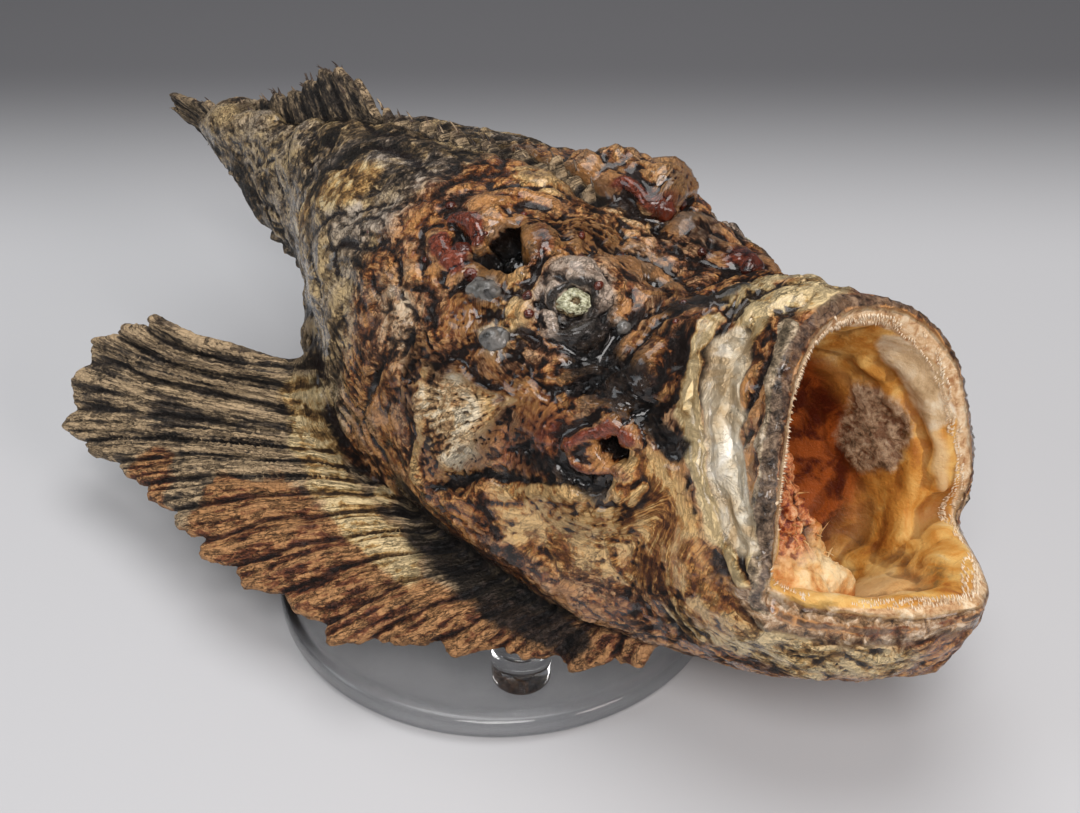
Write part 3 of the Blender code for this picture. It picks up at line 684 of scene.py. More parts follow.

# What stands out or lies deep on both sides of the head, given for the right one: its height and
# its reach in millimetres, how soft its edge is, its marks, and the line that it follows
# A black mark on a sunk pit, hole, hollow, valley, furrow, crease or gap, or on a feature named shadow or
# shade, is painted shade; elsewhere black is the skin's own colour. The same holds in the tables below.
HEAD_FEATURES = {
    "brow_fold_low": (1.8, 2.2, 0.7, {"red": 1.0, "gloss": 1.0}, [(0, -31, 82.5), (-7, -30, 83)]),
    "brow_fold_high": (1.6, 1.9, 0.7, {"red": 1.0, "gloss": 1.0}, [(-1, -26.5, 87), (-9, -25.5, 87)]),
    "brow_pit_rim": (1.0, 1.4, 0.8, {"red": 0.6, "gloss": 0.7}, [
        (13, -27, 85), (12.5, -21, 88.5), (6.5, -17.8, 90.3), (-1, -20, 90),
    ]),
    "brow_pit": (-7.5, 4.9, 0.3, {"black": 1.0, "gloss": 0.6}, [(6.0, -25.6, 87.0)]),
    "brow_fold_gap": (-1.6, 1.0, 0.8, {"black": 0.9}, [(3, -29, 85), (-7, -28, 85)]),
    "blue_bead": (2.0, 2.7, 0.8, {"grey": 1.0, "gloss": 0.7}, [BLUE_BEAD]),
    "pearl_bead": (1.8, 3.0, 0.8, {"cream": 0.7, "gloss": 0.7}, [PEARL_BEAD]),
    "snout_bead": (1.2, 1.7, 0.8, {"grey": 0.8, "gloss": 0.5}, [SNOUT_BEAD]),
    "snout_pit": (-2.6, 3.0, 0.7, {"black": 0.7, "grey": 0.6}, [(36.5, -25.4, 77.2)]),
    "cheek_hole": (-6.0, 3.0, 0.45, {"black": 1.0, "gloss": 0.5}, [(47.5, -31.5, 64.2)]),
    "cheek_arc_high": (1.6, 1.4, 0.8, {"red": 0.7, "cream": 0.2, "gloss": 0.6}, [
        (39, -35, 61), (40.8, -34, 65), (45, -32, 68.2), (50.5, -29.8, 67.5),
    ]),
    "cheek_arc_low": (1.4, 1.4, 0.8, {"red": 0.6, "cream": 0.15, "gloss": 0.6}, [
        (41, -35.5, 58.5), (46, -33.8, 58), (51.5, -31, 60.5),
    ]),
    "cheek_shadow": (-1.4, 3.0, 0.9, {"black": 0.75, "gloss": 0.4}, [
        (30, -38, 57), (38, -37, 56.5), (47, -34, 55.5),
    ]),
    "gill_seam": (1.0, 1.2, 0.8, {"orange": 0.9}, [(6, -43.5, 64), (7.2, -44.5, 55), (7.5, -44.7, 42.3)]),
    "gill_band": (1.4, 4.6, 0.8, {"red": 0.35, "orange": 0.3, "gloss": 0.7}, [
        (8, -44, 39), (18, -43.5, 36), (28, -40.5, 34), (42, -37.3, 32), (51, -33, 28), (57, -26, 22),
    ]),
    "gill_membrane": (-0.4, 5.5, 0.8, {"black": 0.85}, [
        (0, -44, 32), (14, -44, 26), (30, -41, 21.5), (45, -35, 18),
    ]),
    "jaw_joint": (0.5, 7.5, 0.7, {"orange": 0.85, "calm": 0.9}, [(56, -31, 60), (62, -31, 54)]),
    "jaw_angle": (0.4, 9.0, 0.9, {"ochre": 0.15, "orange": 0.95, "calm": 0.5}, [
        (34, -39, 45), (48, -35.5, 45), (66, -30.5, 48), (74, -29, 44),
    ]),
    "chin_band": (0.0, 6.0, 0.9, {"ochre": 0.75, "orange": 0.35}, [
        (76, -27, 40), (90, -20, 37), (103, -8, 36),
    ]),
    "jaw_side": (0.0, 6.5, 0.8, {"ochre": 0.8}, [(70, -27, 36), (80, -24, 36), (90, -17, 34)]),
    "brow_ash": (0.0, 9.0, 0.9, {"grey": 0.4, "cream": 0.46}, [(-10, -40, 72), (-3, -42, 66)]),
    "snout_dark": (0.0, 7.0, 0.8, {"black": 0.75}, [(31, -25, 79), (38, -27, 74), (46, -27, 75)]),
    "brow_amber": (0.0, 6.0, 0.9, {"orange": 0.6, "cream": 0.3}, [(14, -29, 83), (18, -34, 76)]),
    "cheek_red": (0.0, 8.0, 0.9, {"red": 0.55}, [(36, -37, 62), (30, -39, 56)]),
    "shoulder_ochre": (0.9, 6.5, 0.7, {"ochre": 0.9, "calm": 0.5}, [(-44, -24, 82), (-50, -24, 78)]),
    "flank_tan": (0.6, 5.0, 0.8, {"ochre": 0.7, "cream": 0.4, "calm": 0.4}, [
        (-60, -26, 70), (-74, -21, 60),
    ]),
    "fin_wedge": (0.8, 4.8, 0.9, {"ochre": 1.0, "cream": 0.3, "calm": 0.5}, [
        (-40, -43, 37), (-31.7, -45.7, 30), (-20.6, -47.8, 25.4), (-4, -50, 22), (10, -49.5, 20.5),
    ]),
    "fin_root_spot": (1.4, 3.2, 0.7, {"ochre": 1.0, "gloss": 0.3}, [(-7, -42.5, 26)]),
    "crown_dark": (0.0, 10.0, 0.9, {"black": 0.42, "red": 0.4, "orange": 0.3}, [
        (-22, 0, 95), (-8, 0, 96), (4, 2, 95),
    ]),
    "gill_edge_furrow": (-1.5, 1.5, 0.9, {"black": 0.85}, [
        (-1.6, -42.2, 68), (-9.8, -44, 56.5), (-14.4, -43.3, 43), (-6.4, -43.6, 37),
    ]),
    "fan_furrow": (-1.5, 1.5, 0.9, {"black": 0.85}, [
        (12.7, -44, 41), (24.6, -41.6, 50.5), (38, -38, 53), (48.5, -32.8, 58),
    ]),
    "eye_furrow": (-1.2, 1.1, 0.9, {"black": 0.8}, [
        (20.5, -28.2, 81.7), (26, -27.7, 79.6), (31, -22, 81.4), (31, -18, 83.4),
    ]),
    "eye_low_fold": (1.2, 1.4, 0.8, {"grey": 0.4}, [(23, -32.4, 74.3), (31, -31.6, 72.3), (38, -28, 75.4)]),
    "eye_low_furrow": (-1.2, 1.2, 0.9, {"black": 0.8}, [
        (22, -33.5, 71.5), (31.5, -32.8, 69.5), (40, -29, 73),
    ]),
    "snout_furrow": (-1.2, 2.6, 0.9, {"black": 0.85}, [
        (41, -26, 77.5), (52, -28, 71.5), (59.6, -27.6, 69),
    ]),
    "fin_shadow": (0.0, 4.2, 0.9, {"black": 0.85}, [(12, -42, 23), (28, -40, 20), (42, -33, 19)]),
    "membrane": (-1.0, 4.2, 0.6, {"pearl": 1.0, "calm": 1.0}, [
        (57.5, -13.5, 85), (60.5, -18.4, 80), (64.6, -22.7, 73.5), (70.5, -25, 66.3), (76.5, -27.5, 60),
    ]),
    "jaw_bone": (1.5, 1.6, 0.7, {"ochre": 1.0, "calm": 1.0}, [
        (50.8, -12, 86.3), (54, -20.4, 80.8), (58.1, -24.7, 74.6), (61.7, -26.5, 69.6),
        (65.1, -27.6, 65.2), (69.5, -28.2, 60.2), (75, -29, 55), (80, -29, 52.5),
    ]),
    "jaw_strut": (1.3, 1.3, 0.7, {"ochre": 1.0, "calm": 1.0}, [
        (60, -9, 89.2), (60.5, -16, 84), (62.5, -20.5, 78.5), (66, -23.6, 71),
        (72, -26, 64.5), (80.5, -28.4, 56.5),
    ]),
    "jaw_blade": (0.7, 1.7, 0.35, {"blade": 1.0, "calm": 0.8}, [
        (65.1, -8.4, 91.6), (68.3, -14.4, 88.8), (72.2, -19.6, 84.1), (74.8, -22.7, 79.2),
        (77.4, -25, 73), (79.5, -26.8, 66.2), (81.6, -28.3, 59.4), (82.8, -27.6, 50.7),
        (83.8, -25.4, 44.5),
    ]),
    "jaw_process": (0.9, 5.0, 0.7, {"ochre": 1.0, "cream": 0.15, "calm": 0.3}, [
        (51, -3, 88.6), (56, -6, 89.3), (61, 0, 92.5),
    ]),
    "jaw_corner": (0.8, 3.0, 0.8, {"ochre": 0.6, "calm": 0.4}, [(74, -29.5, 45), (84, -25, 40)]),
}  # fmt: skip

# A row of small curled folds below the cheek
CURLS = 9
CURLS_FROM, CURLS_TO = np.array([35.5, -38.8, 49.5]), np.array([53.5, -31.5, 55.5])
CURL_RISE = (1.5, 0, 4.0)
CURL_MARKS = {"cream": 0.3, "grey": 0.5, "gloss": 0.3}
CURLED_FOLDS = {}
for number in range(CURLS):
    foot = CURLS_FROM + (CURLS_TO - CURLS_FROM) * number / (CURLS - 1)
    CURLED_FOLDS[number] = (1.2, 1.0, 0.7, CURL_MARKS, [foot, foot + CURL_RISE])

# The same as for the sides, for what only one side or the middle of the head has
ODD_FEATURES = {
    "tail_ridge": (5.0, 7.0, 0.9, {"black": 0.3}, [(-114, 0, 72), (-124, 0, 70), (-136, 0, 67)]),
    "crown_lump": (4.4, 6.6, 0.8, {"orange": 0.45, "red": 0.4, "gloss": 0.9}, [
        (-3, 13, 93), (8, 15.5, 92),
    ]),
    "crown_lump_lip": (1.8, 1.8, 0.8, {"red": 1.0, "gloss": 1.0}, [
        (6, 8, 92), (12.5, 10, 91), (14, 15, 91),
    ]),
    "crown_valley": (-2.6, 2.2, 0.9, {"black": 0.8}, [(17, 8, 89), (16, 18, 90)]),
    "far_dome": (3.4, 5.6, 0.8, {"black": 0.45, "grey": 0.5}, [(20.6, 13.9, 87), (26, 12, 86)]),
    "far_pit": (-4.2, 3.6, 0.6, {"black": 0.95, "gloss": 0.9}, [(28.5, -3.5, 84.2)]),
    "red_wart": (2.2, 3.4, 0.8, {"red": 1.0, "gloss": 1.0}, [SNOUT_WART]),
    "black_fold": (1.9, 2.6, 0.7, {"black": 0.9, "gloss": 0.6}, [
        (41, -13, 85.5), (47, -9.6, 87.2), (49, -3, 88),
    ]),
    "black_fold_hollow": (-1.8, 1.8, 0.8, {"black": 0.9}, [(44, -6, 87)]),
    "orange_patch": (0.8, 4.4, 0.8, {"orange": 1.0, "gloss": 0.5}, [(-9, -5, 92), (-3.8, -5, 92.5)]),
    "pink_brow": (0.3, 8.0, 0.9, {"orange": 0.5, "cream": 0.4}, [(9, -1, 89), (12, 6, 89)]),
    "chin_knob": (0.6, 5.0, 0.8, {"red": 0.5, "grey": 0.3}, [(105, 5, 31)]),
}

# The same for the mouth's lining
# Inside the mouth, the dark red put deep in the throat, on the near wall and in the hollows and creases is
# painted shade, and so is the black there
LINING_FEATURES = {
    "rough_patch": (0.5, 7.6, 0.35, {"patch": 1.0}, [(66.8, 26, 56), (67.2, 26, 62)]),
    "pale_window": (0.3, 4.4, 0.5, {"pearl": 1.0, "calm": 1.0}, [
        (78.5, 28.2, 69), (74.9, 25.8, 75), (70, 21, 81),
    ]),
    "wall_fold_near_lip": (1.6, 1.8, 0.8, {"cream": 0.7}, [
        (82, 30, 52), (80.5, 29.5, 62), (76, 26.5, 71), (70, 22, 77),
    ]),
    "wall_fold_deep": (1.3, 1.6, 0.8, {"cream": 0.3}, [
        (77, 27, 46), (76.5, 27.5, 58), (71, 25, 68), (64, 21, 74),
    ]),
    "wall_hollow": (-1.4, 3.0, 0.8, {"ember": 0.4}, [(84, 29, 46), (78, 27, 41), (70, 25, 38)]),
    "floor_crease": (-1.5, 2.4, 0.9, {"black": 0.45, "ember": 0.5}, [
        (70, 23, 34), (83.5, 19.4, 38), (96, 7.4, 43.9),
    ]),
    # Painted light: a pool of golden light on the mouth's floor, and a weaker one on the tongue
    "floor_painted_light": (0.6, 15.0, 0.9, {"glow": 1.0}, [(78, -8, 40), (84, 2, 38)]),
    "throat_shade": (0.0, 9.0, 0.9, {"black": 0.8}, [(44, -14, 62), (48, -18, 52)]),
    "tongue": (3.0, 7.0, 0.8, {"glow": 0.6}, [(60, 0, 32), (72, 2, 30)]),
    "throat_dark": (0.0, 17.0, 0.9, {"ember": 1.0}, [(45, 18, 58), (52, 22, 50), (54, 18, 40)]),
    "near_wall": (0.0, 14.0, 0.9, {"ember": 1.0}, [(48, -20, 64), (60, -22, 58), (64, -22, 46)]),
    "front_shade": (0.0, 3.0, 0.9, {"black": 0.55}, [(98, 10, 45), (94, 16, 43)]),
}  # fmt: skip

EYE_DOMES = {"right": (25.4, -24.3, 83.2), "left": (24.0, 29.0, 81.5)}
EYE_DOME_RADIUS = 10.0
EYE_RING_PITCH = 2.6
CHEEK = (44, 34, 62)
FAN_POINT = np.array([26.3, -36.9, 66.4])
FAN_REACH = 25.0
FAN_FOLDS = 34


def skew_mirrored(path):
    """The same line on the left side, where the mouth lies further over."""
    mirrored = []
    for x, y, z in path:
        share = min(max((x - 45) / 25, 0), 1)
        mirrored.append((x + 0.1 * abs(y) * share * 0.5, 8 * share - y, z - 2.5 * share))
    return mirrored


def shape_fins(hide):
    """Frays the ends of the fins. It returns each point's ray, its share of the way out, the same
    two in millimetres, and whether it is on one of the fins of the fish's middle."""
    rays, outwards, across_mm, outward_mm, middle, on_fin, rust = np.zeros((7, len(hide.points)))
    fray = np.zeros_like(hide.points)
    for seed, (fin, mirror, thickness, sunk, sunk_more) in enumerate(FINS):
        across, outward, away, directions, length, pitch = fin_places(hide.points, fin, mirror)
        share = smooth(*FIN_ROOT, outward) * (away < thickness * (1 - 0.35 * outward) + 0.4)
        nearer = share > on_fin
        rays[nearer], outwards[nearer] = across[nearer], outward[nearer]
        across_mm[nearer], outward_mm[nearer] = across[nearer] * pitch, outward[nearer] * length
        middle[nearer] = fin in MIDDLE_FINS.values()
        on_fin = np.maximum(on_fin, share)
        if fin is PECTORAL:
            wander = 4 * clouds(hide.points, 14.0, 77)
            rusty = smooth(*RUSTY_RAYS, across + wander) * smooth(*RUSTY_OUTWARD, outward)
            rust[nearer] = rusty[nearer]
        luck = np.random.default_rng(seed).uniform(-1, 1, fin[2] + 2)
        wanted = np.interp(across, np.arange(fin[2] + 2), luck)
        notch = 1 - np.abs(np.cos(np.pi * across))
        drawn = (wanted * RAY_FRAY - notch * RAY_NOTCH) * (share > 0.5) * np.clip(outward, 0, 1) ** 3
        drawn = drawn - outward * length * (sunk + sunk_more * across)
        fray[nearer] = (directions * drawn[:, None])[nearer]
    hide.points += hide.blurred(fray, 2)
    hide.marks["fin"] = hide.blurred(on_fin, 3)
    hide.marks["rust"] = rust
    return rays, outwards, across_mm, outward_mm, hide.blurred(middle, 4)


def round_body(hide):
    """Rounds the coarse facets of the body, and those of the thin fins only a little. The belly
    behind the head has shrunk up, and the end of the tail has shrunk flat."""
    fin = hide.marks["fin"]
    hide.relax(14, (0.6 * (1 - 0.85 * fin))[:, None])
    x, y, z = hide.points.T
    waist = smooth(*WAIST_FRONT, x) * smooth(*WAIST_BACK, x) * (1 - fin)
    z += waist * smooth(*BELLY, z) * WAIST_TUCK
    y *= 1 - 0.08 * waist * smooth(70, 50, z)
    z += (TAIL_LINE - z) * 0.5 * smooth(*TAIL_POINT, x)


def mark_mouth(hide):
    """Marks the lining, where the skin faces the middle line of the mouth, and the lips round it.
    It returns each point's distance to the rim of the lips."""
    facing = hide.blurred(hide.normals(), 8)
    x, y, z = hide.points.T
    tree = nearest_tree(smooth_line(MOUTH_LINE, 60))
    inner = np.flatnonzero((x > 20) & (np.abs(y) < 45) & (hide.marks["fin"] < 0.3))
    towards = np.array([np.array(tree.find(place)[0]) for place in hide.points[inner]]) - hide.points[inner]
    reach = lengths(towards)
    cosine = (towards * facing[inner]).sum(1) / np.maximum(reach, 0.1)
    lining = np.zeros(len(hide.points))
    lining[inner] = (cosine > 0.05) & (reach < MOUTH_REACH)
    lining = hide.marks["lining"] = hide.blurred(lining, 2)
    outer = 1 - lining

    start = warped(hide.points, 7.0, 0.5, 3)
    rim = np.minimum(*(line_distance(start, smooth_line(lip, 40)) for lip in (LIP_RIGHT, LIP_LEFT)))
    upper, lower = smooth(*UPPER_LIP, z), smooth(*LOWER_LIP, z)
    hide.paint(lining * smooth(*TEETH_BAND, rim - 2.2 * upper), teeth=1.0)
    hide.paint(outer * smooth(*LIP_BAND, rim + 0.8 * lower), lip=1.0)
    hide.paint(outer * smooth(*CRUST_BAND, rim) * smooth(0.4, 1.2, rim) * lower, crust=0.8)
    hide.paint(smooth(*TAUT_BAND, rim), calm=1.0)
    return rim


def raise_features(hide, start, features, share, both_sides=False):
    """Raises or sinks the skin along each feature's line, and paints its marks there."""
    for height, reach, soft, painted, path in features.values():
        for line in (path, skew_mirrored(path)) if both_sides else (path,):
            strength = smooth(1 + soft, 1 - soft, line_distance(start, line) / reach) * share
            if height:
                hide.push(height * strength)
            hide.paint(strength, **painted)


def ring_eyes(hide, start, body):
    """Raises the eye domes, sinks a seat for each eye and rings it with wrinkles."""
    for centre in EYE_DOMES.values():
        away = lengths(start - np.array(centre))
        dome = smooth(EYE_DOME_RADIUS + 2, EYE_DOME_RADIUS - 5, away) * body
        rings = np.abs(np.sin(away * math.pi / EYE_RING_PITCH + clouds(start, 5.0, 17)))
        rings = rings * smooth(3.0, 4.5, away) * smooth(12, 8, away)
        hide.push(dome * 1.2 + rings * 0.55 * body - 1.2 * smooth(4.2, 2.8, away) * body)
        # Painted shade: a dark ring round the eye's sunk seat, where the eyeball meets the skin
        hide.paint(smooth(3.2, 3.8, away) * smooth(5.2, 4.2, away) * body, black=0.75)
        hide.paint(dome, grey=0.9, cream=0.28, calm=0.3)


def fan_gill_covers(hide, start, body):
    """Wrinkles the gill covers' bony plates back from one point. It returns where the fans lie."""
    fans = np.zeros(len(hide.points))
    for side in (-1, 1):
        back, down = FAN_POINT[0] - start[:, 0], FAN_POINT[2] - start[:, 2]
        angle = np.degrees(np.arctan2(down, back))
        away = np.hypot(back, down)
        fan = smooth(-10, 8, angle) * smooth(80, 60, angle) * smooth(FAN_REACH + 3, FAN_REACH - 3, away)
        fan *= body * (start[:, 1] * side > 30)
        wander = clouds(start, 5.0, 23) * 3.0
        fold = np.abs(np.sin(np.radians(angle + wander) * FAN_FOLDS)) * smooth(2, 8, away)
        hide.push(fan * (0.7 * smooth(24, 12, away) + 0.3 * fold))
        blotch = 0.45 + 0.5 * smooth(-0.3, 0.3, clouds(start, 6.0, 25))
        hide.paint(fan * blotch * smooth(2, 10, away) * smooth(28, 18, away), cream=1.0)
        hide.paint(fan, orange=0.55, calm=0.4)
        hide.paint(fan * smooth(9, 3, away), grey=0.5)
        fans = np.maximum(fans, fan)
    return fans


def drawn_out(hide, flows, slow, size, seed):
    """Coordinates in millimetres whose first one runs across the wrinkles."""
    x, y, z = hide.points.T
    wander = warped(hide.points, size * 3, size, seed) - hide.points
    total = np.zeros_like(hide.points)
    for weight, fast in flows:
        total += weight[:, None] * np.column_stack([fast, (x + y) * slow, (z - x) * slow])
    total /= np.maximum(sum(weight for weight, _ in flows), 0.05)[:, None]
    return total + wander * (1.0, slow, slow)


def wrinkle(hide, rim, fans, body):
    """Wrinkles the skin round what it was stretched on: the eyes, the cheeks, the lips, and the
    trunk's length. It returns these flows, each a weight with a distance that runs across it."""
    calm = 1 - hide.marks["calm"]
    x, y, z = hide.points.T
    head = smooth(*HEAD_BACK, x) * body * calm
    trunk = (1 - smooth(*HEAD_BACK, x)) * body * calm
    top = smooth(*TOP_OF_HEAD, z)
    eye = np.minimum(*(lengths(hide.points - np.array(centre)) for centre in EYE_DOMES.values()))
    cheek = line_distance(np.abs(hide.points), [CHEEK])
    round_eye = smooth(*ROUND_EYES, eye) * head
    round_cheek = smooth(*ROUND_CHEEKS, cheek) * head * (1 - round_eye)
    round_lips = smooth(*ROUND_LIPS, rim) * head * (1 - round_eye) * (1 - round_cheek)
    elsewhere = np.clip(head - round_eye - round_cheek - round_lips, 0, 1)
    skin_share = np.clip(head + trunk, 0, 1)
    fan_angle = np.arctan2(FAN_POINT[2] - z, FAN_POINT[0] - x) * 14.0
    flows = (
        (round_eye * (1 - fans), eye), (round_cheek * (1 - fans), cheek),
        (round_lips * (1 - fans), rim), (fans * skin_share, fan_angle),
        ((elsewhere + trunk) * (1 - fans), z + 0.5 * np.abs(y)),
    )  # fmt: skip

    shrivelled = 0.45 + 0.75 * smooth(-0.35, 0.35, clouds(hide.points, 20.0, 91))
    drawn = drawn_out(hide, flows, 0.26, 5.0, 101)
    thin_folds = np.clip(1 - 2.2 * np.abs(clouds(drawn, 8.0, 103)), 0, 1) ** 2
    wrinkles = np.clip(np.abs(clouds(drawn, 3.2, 151)) * 1.8, 0, 1)
    strings = clouds(drawn, 1.9, 201)
    lumps = (creases(hide.points, 12.0, 31) - 0.4) * (0.7 + 1.5 * top)
    small_lumps = creases(hide.points, 6.5, 37, stretch=(0.7, 1.0, 0.9)) - 0.35
    height = head * (lumps + small_lumps * (0.15 + 0.8 * top))
    height += trunk * (creases(hide.points, 11.0, 47, (0.4, 1.0, 0.8)) - 0.4) * 1.3
    drawn_folds = 0.45 * (thin_folds - 0.2) + 0.32 * (wrinkles - 0.35) + 0.25 * strings
    height += skin_share * shrivelled * drawn_folds
    lining_folds = creases(hide.points, 8.0, 53, stretch=(1.0, 1.0, 0.35)) - 0.4
    height += hide.marks["lining"] * calm * lining_folds * 0.8
    hide.push(height)
    return flows


def shape_skin(hide):
    """Gives the plain skin its folds, pits, rays and wrinkles, and the marks for its finish."""
    rays, outward, across_mm, outward_mm, middle = shape_fins(hide)
    round_body(hide)
    rim = mark_mouth(hide)
    fin, lining = hide.marks["fin"], hide.marks["lining"]
    outer = 1 - lining
    body = outer * (1 - fin)

    start = warped(hide.points, 6.0, 1.0, 11)
    raise_features(hide, start, HEAD_FEATURES, outer, both_sides=True)
    raise_features(hide, start, ODD_FEATURES, body)
    raise_features(hide, start, CURLED_FOLDS, body, both_sides=True)
    raise_features(hide, start, LINING_FEATURES, lining)
    ring_eyes(hide, start, body)
    fans = fan_gill_covers(hide, start, body)
    flows = wrinkle(hide, rim, fans, body)

    # Fin rays: each a rounded ridge of two or three strands, on a wrinkled fleshy root
    phase = rays + 0.10 * clouds(hide.points, 12.0, 61)
    ridge = np.abs(np.cos(np.pi * phase))
    split = np.abs(np.cos(3 * np.pi * phase)) * smooth(0.1, 0.4, outward)
    on_fin = np.column_stack([across_mm, outward_mm * 0.12, 0 * outward])
    strands = clouds(on_fin, 1.5, 69)
    stout = (1 - 0.6 * middle) * (0.45 + 0.55 * smooth(0.1, 0.45, outward))
    hide.push(fin * stout * (0.75 * (ridge - 0.6) + 0.4 * (split - 0.5) + 0.5 * strands))
    palm = creases(hide.points, 4.2, 71, stretch=(0.4, 1.0, 1.0))
    hide.push(fin * smooth(0.34, 0.08, outward) * (palm - 0.35) * 0.8)

    # Fine grain over everything
    marks = hide.marks
    rough = (outer * (0.3 + 0.7 * (1 - marks["calm"])) + 0.2 * lining) * (1 - 0.4 * fin)
    rough += 1.6 * marks["blade"] + 1.6 * marks["lip"] + 2.0 * marks["patch"]
    hide.push(rough * (creases(hide.points, 1.5, 73) - 0.35) * 0.26)

    # Coordinates for the finest wrinkles, which the finish draws
    on_fin = np.column_stack([across_mm * 0.8, outward_mm * 0.10, 0.5 * hide.points[:, 2]])
    flow = drawn_out(hide, flows, 0.36, 3.0, 301)
    flow[lining > 0.5] = (hide.points * (0.5, 0.5, 1.0))[lining > 0.5]
    marks["flow"] = (flow * (1 - fin[:, None]) + on_fin * fin[:, None]) * MM

    # Relief, as the height of each point over the same skin smoothed out
    normals = hide.normals()
    for name, times, scale in (("fold", 40, 0.45), ("relief", 6, 1.3)):
        over = hide.points - hide.blurred(hide.points, times)
        marks[name] = 0.5 + (over * normals).sum(1) * scale
    x, _, z = hide.points.T
    hide.paint(np.maximum(smooth(*TAIL_TIP, x), middle * fin), black=0.42)
    marks["ray"] = fin * (0.65 * ridge + 0.35 * split)
    marks["middle"] = fin * middle
    marks["trunk"] = smooth(*TRUNK_FRONT, x) * outer
    marks["high"] = smooth(*TOP_OF_SIDES, z) * outer


skin = merged_flesh("skin", FLESH + ["eye_left", "eye_right"], GRAIN_OF_SKIN)
hide = Hide(skin)
shape_skin(hide)
hide.store()
skin.data.calc_loop_triangles()
triangles = len(skin.data.loop_triangles)
if triangles > SKIN_TRIANGLES:
    apply_modifier(skin, "DECIMATE", ratio=SKIN_TRIANGLES / triangles)
smooth_shaded(skin)


# The dried hide's colours, each from its darkest tone to its palest
HIDE_TONES = {
    "rust": ((0.007, 0.003, 0.002), (0.080, 0.022, 0.006), (0.28, 0.088, 0.018), (0.64, 0.31, 0.100)),
    "ash": ((0.009, 0.008, 0.007), (0.058, 0.044, 0.034), (0.20, 0.155, 0.12), (0.54, 0.46, 0.39)),
    "olive": ((0.011, 0.008, 0.004), (0.080, 0.051, 0.024), (0.27, 0.175, 0.080), (0.64, 0.46, 0.23)),
    "straw": ((0.08, 0.040, 0.012), (0.33, 0.175, 0.055), (0.62, 0.39, 0.145), (0.86, 0.66, 0.35)),
    "amber": ((0.08, 0.021, 0.005), (0.29, 0.100, 0.025), (0.56, 0.26, 0.070), (0.80, 0.51, 0.21)),
    "blood": ((0.006, 0.001, 0.001), (0.034, 0.003, 0.002), (0.092, 0.009, 0.004), (0.25, 0.05, 0.02)),
    "cream": ((0.20, 0.110, 0.050), (0.56, 0.34, 0.16), (0.84, 0.59, 0.32), (0.96, 0.80, 0.56)),
    "glaze": ((0.010, 0.003, 0.002), (0.085, 0.020, 0.005), (0.25, 0.068, 0.014), (0.54, 0.23, 0.060)),
}
FIN_TONES = {
    "dusky": ((0.009, 0.008, 0.006), (0.056, 0.042, 0.031), (0.17, 0.125, 0.080), (0.54, 0.39, 0.23)),
    "ruddy": ((0.014, 0.005, 0.003), (0.085, 0.023, 0.010), (0.21, 0.070, 0.026), (0.50, 0.25, 0.10)),
}
MOUTH_TONES = {
    "amber": ((0.42, 0.14, 0.022), (0.66, 0.30, 0.055), (0.84, 0.52, 0.16), (0.92, 0.74, 0.40)),
    "pearl": ((0.42, 0.27, 0.13), (0.66, 0.48, 0.28), (0.84, 0.72, 0.53), (0.94, 0.88, 0.77)),
    "patch": ((0.10, 0.055, 0.030), (0.40, 0.26, 0.16), (0.66, 0.49, 0.33)),
    "gums": ((0.42, 0.20, 0.08), (0.70, 0.46, 0.25), (0.88, 0.70, 0.48)),
    "crust": ((0.06, 0.030, 0.014), (0.40, 0.23, 0.11), (0.78, 0.60, 0.42)),
    "lip": ((0.015, 0.010, 0.008), (0.10, 0.06, 0.04), (0.30, 0.2, 0.13)),
    "blade": ((0.024, 0.020, 0.014), (0.19, 0.145, 0.090), (0.44, 0.33, 0.21), (0.84, 0.68, 0.48)),
}
HIDE_BUMP = 0.0011


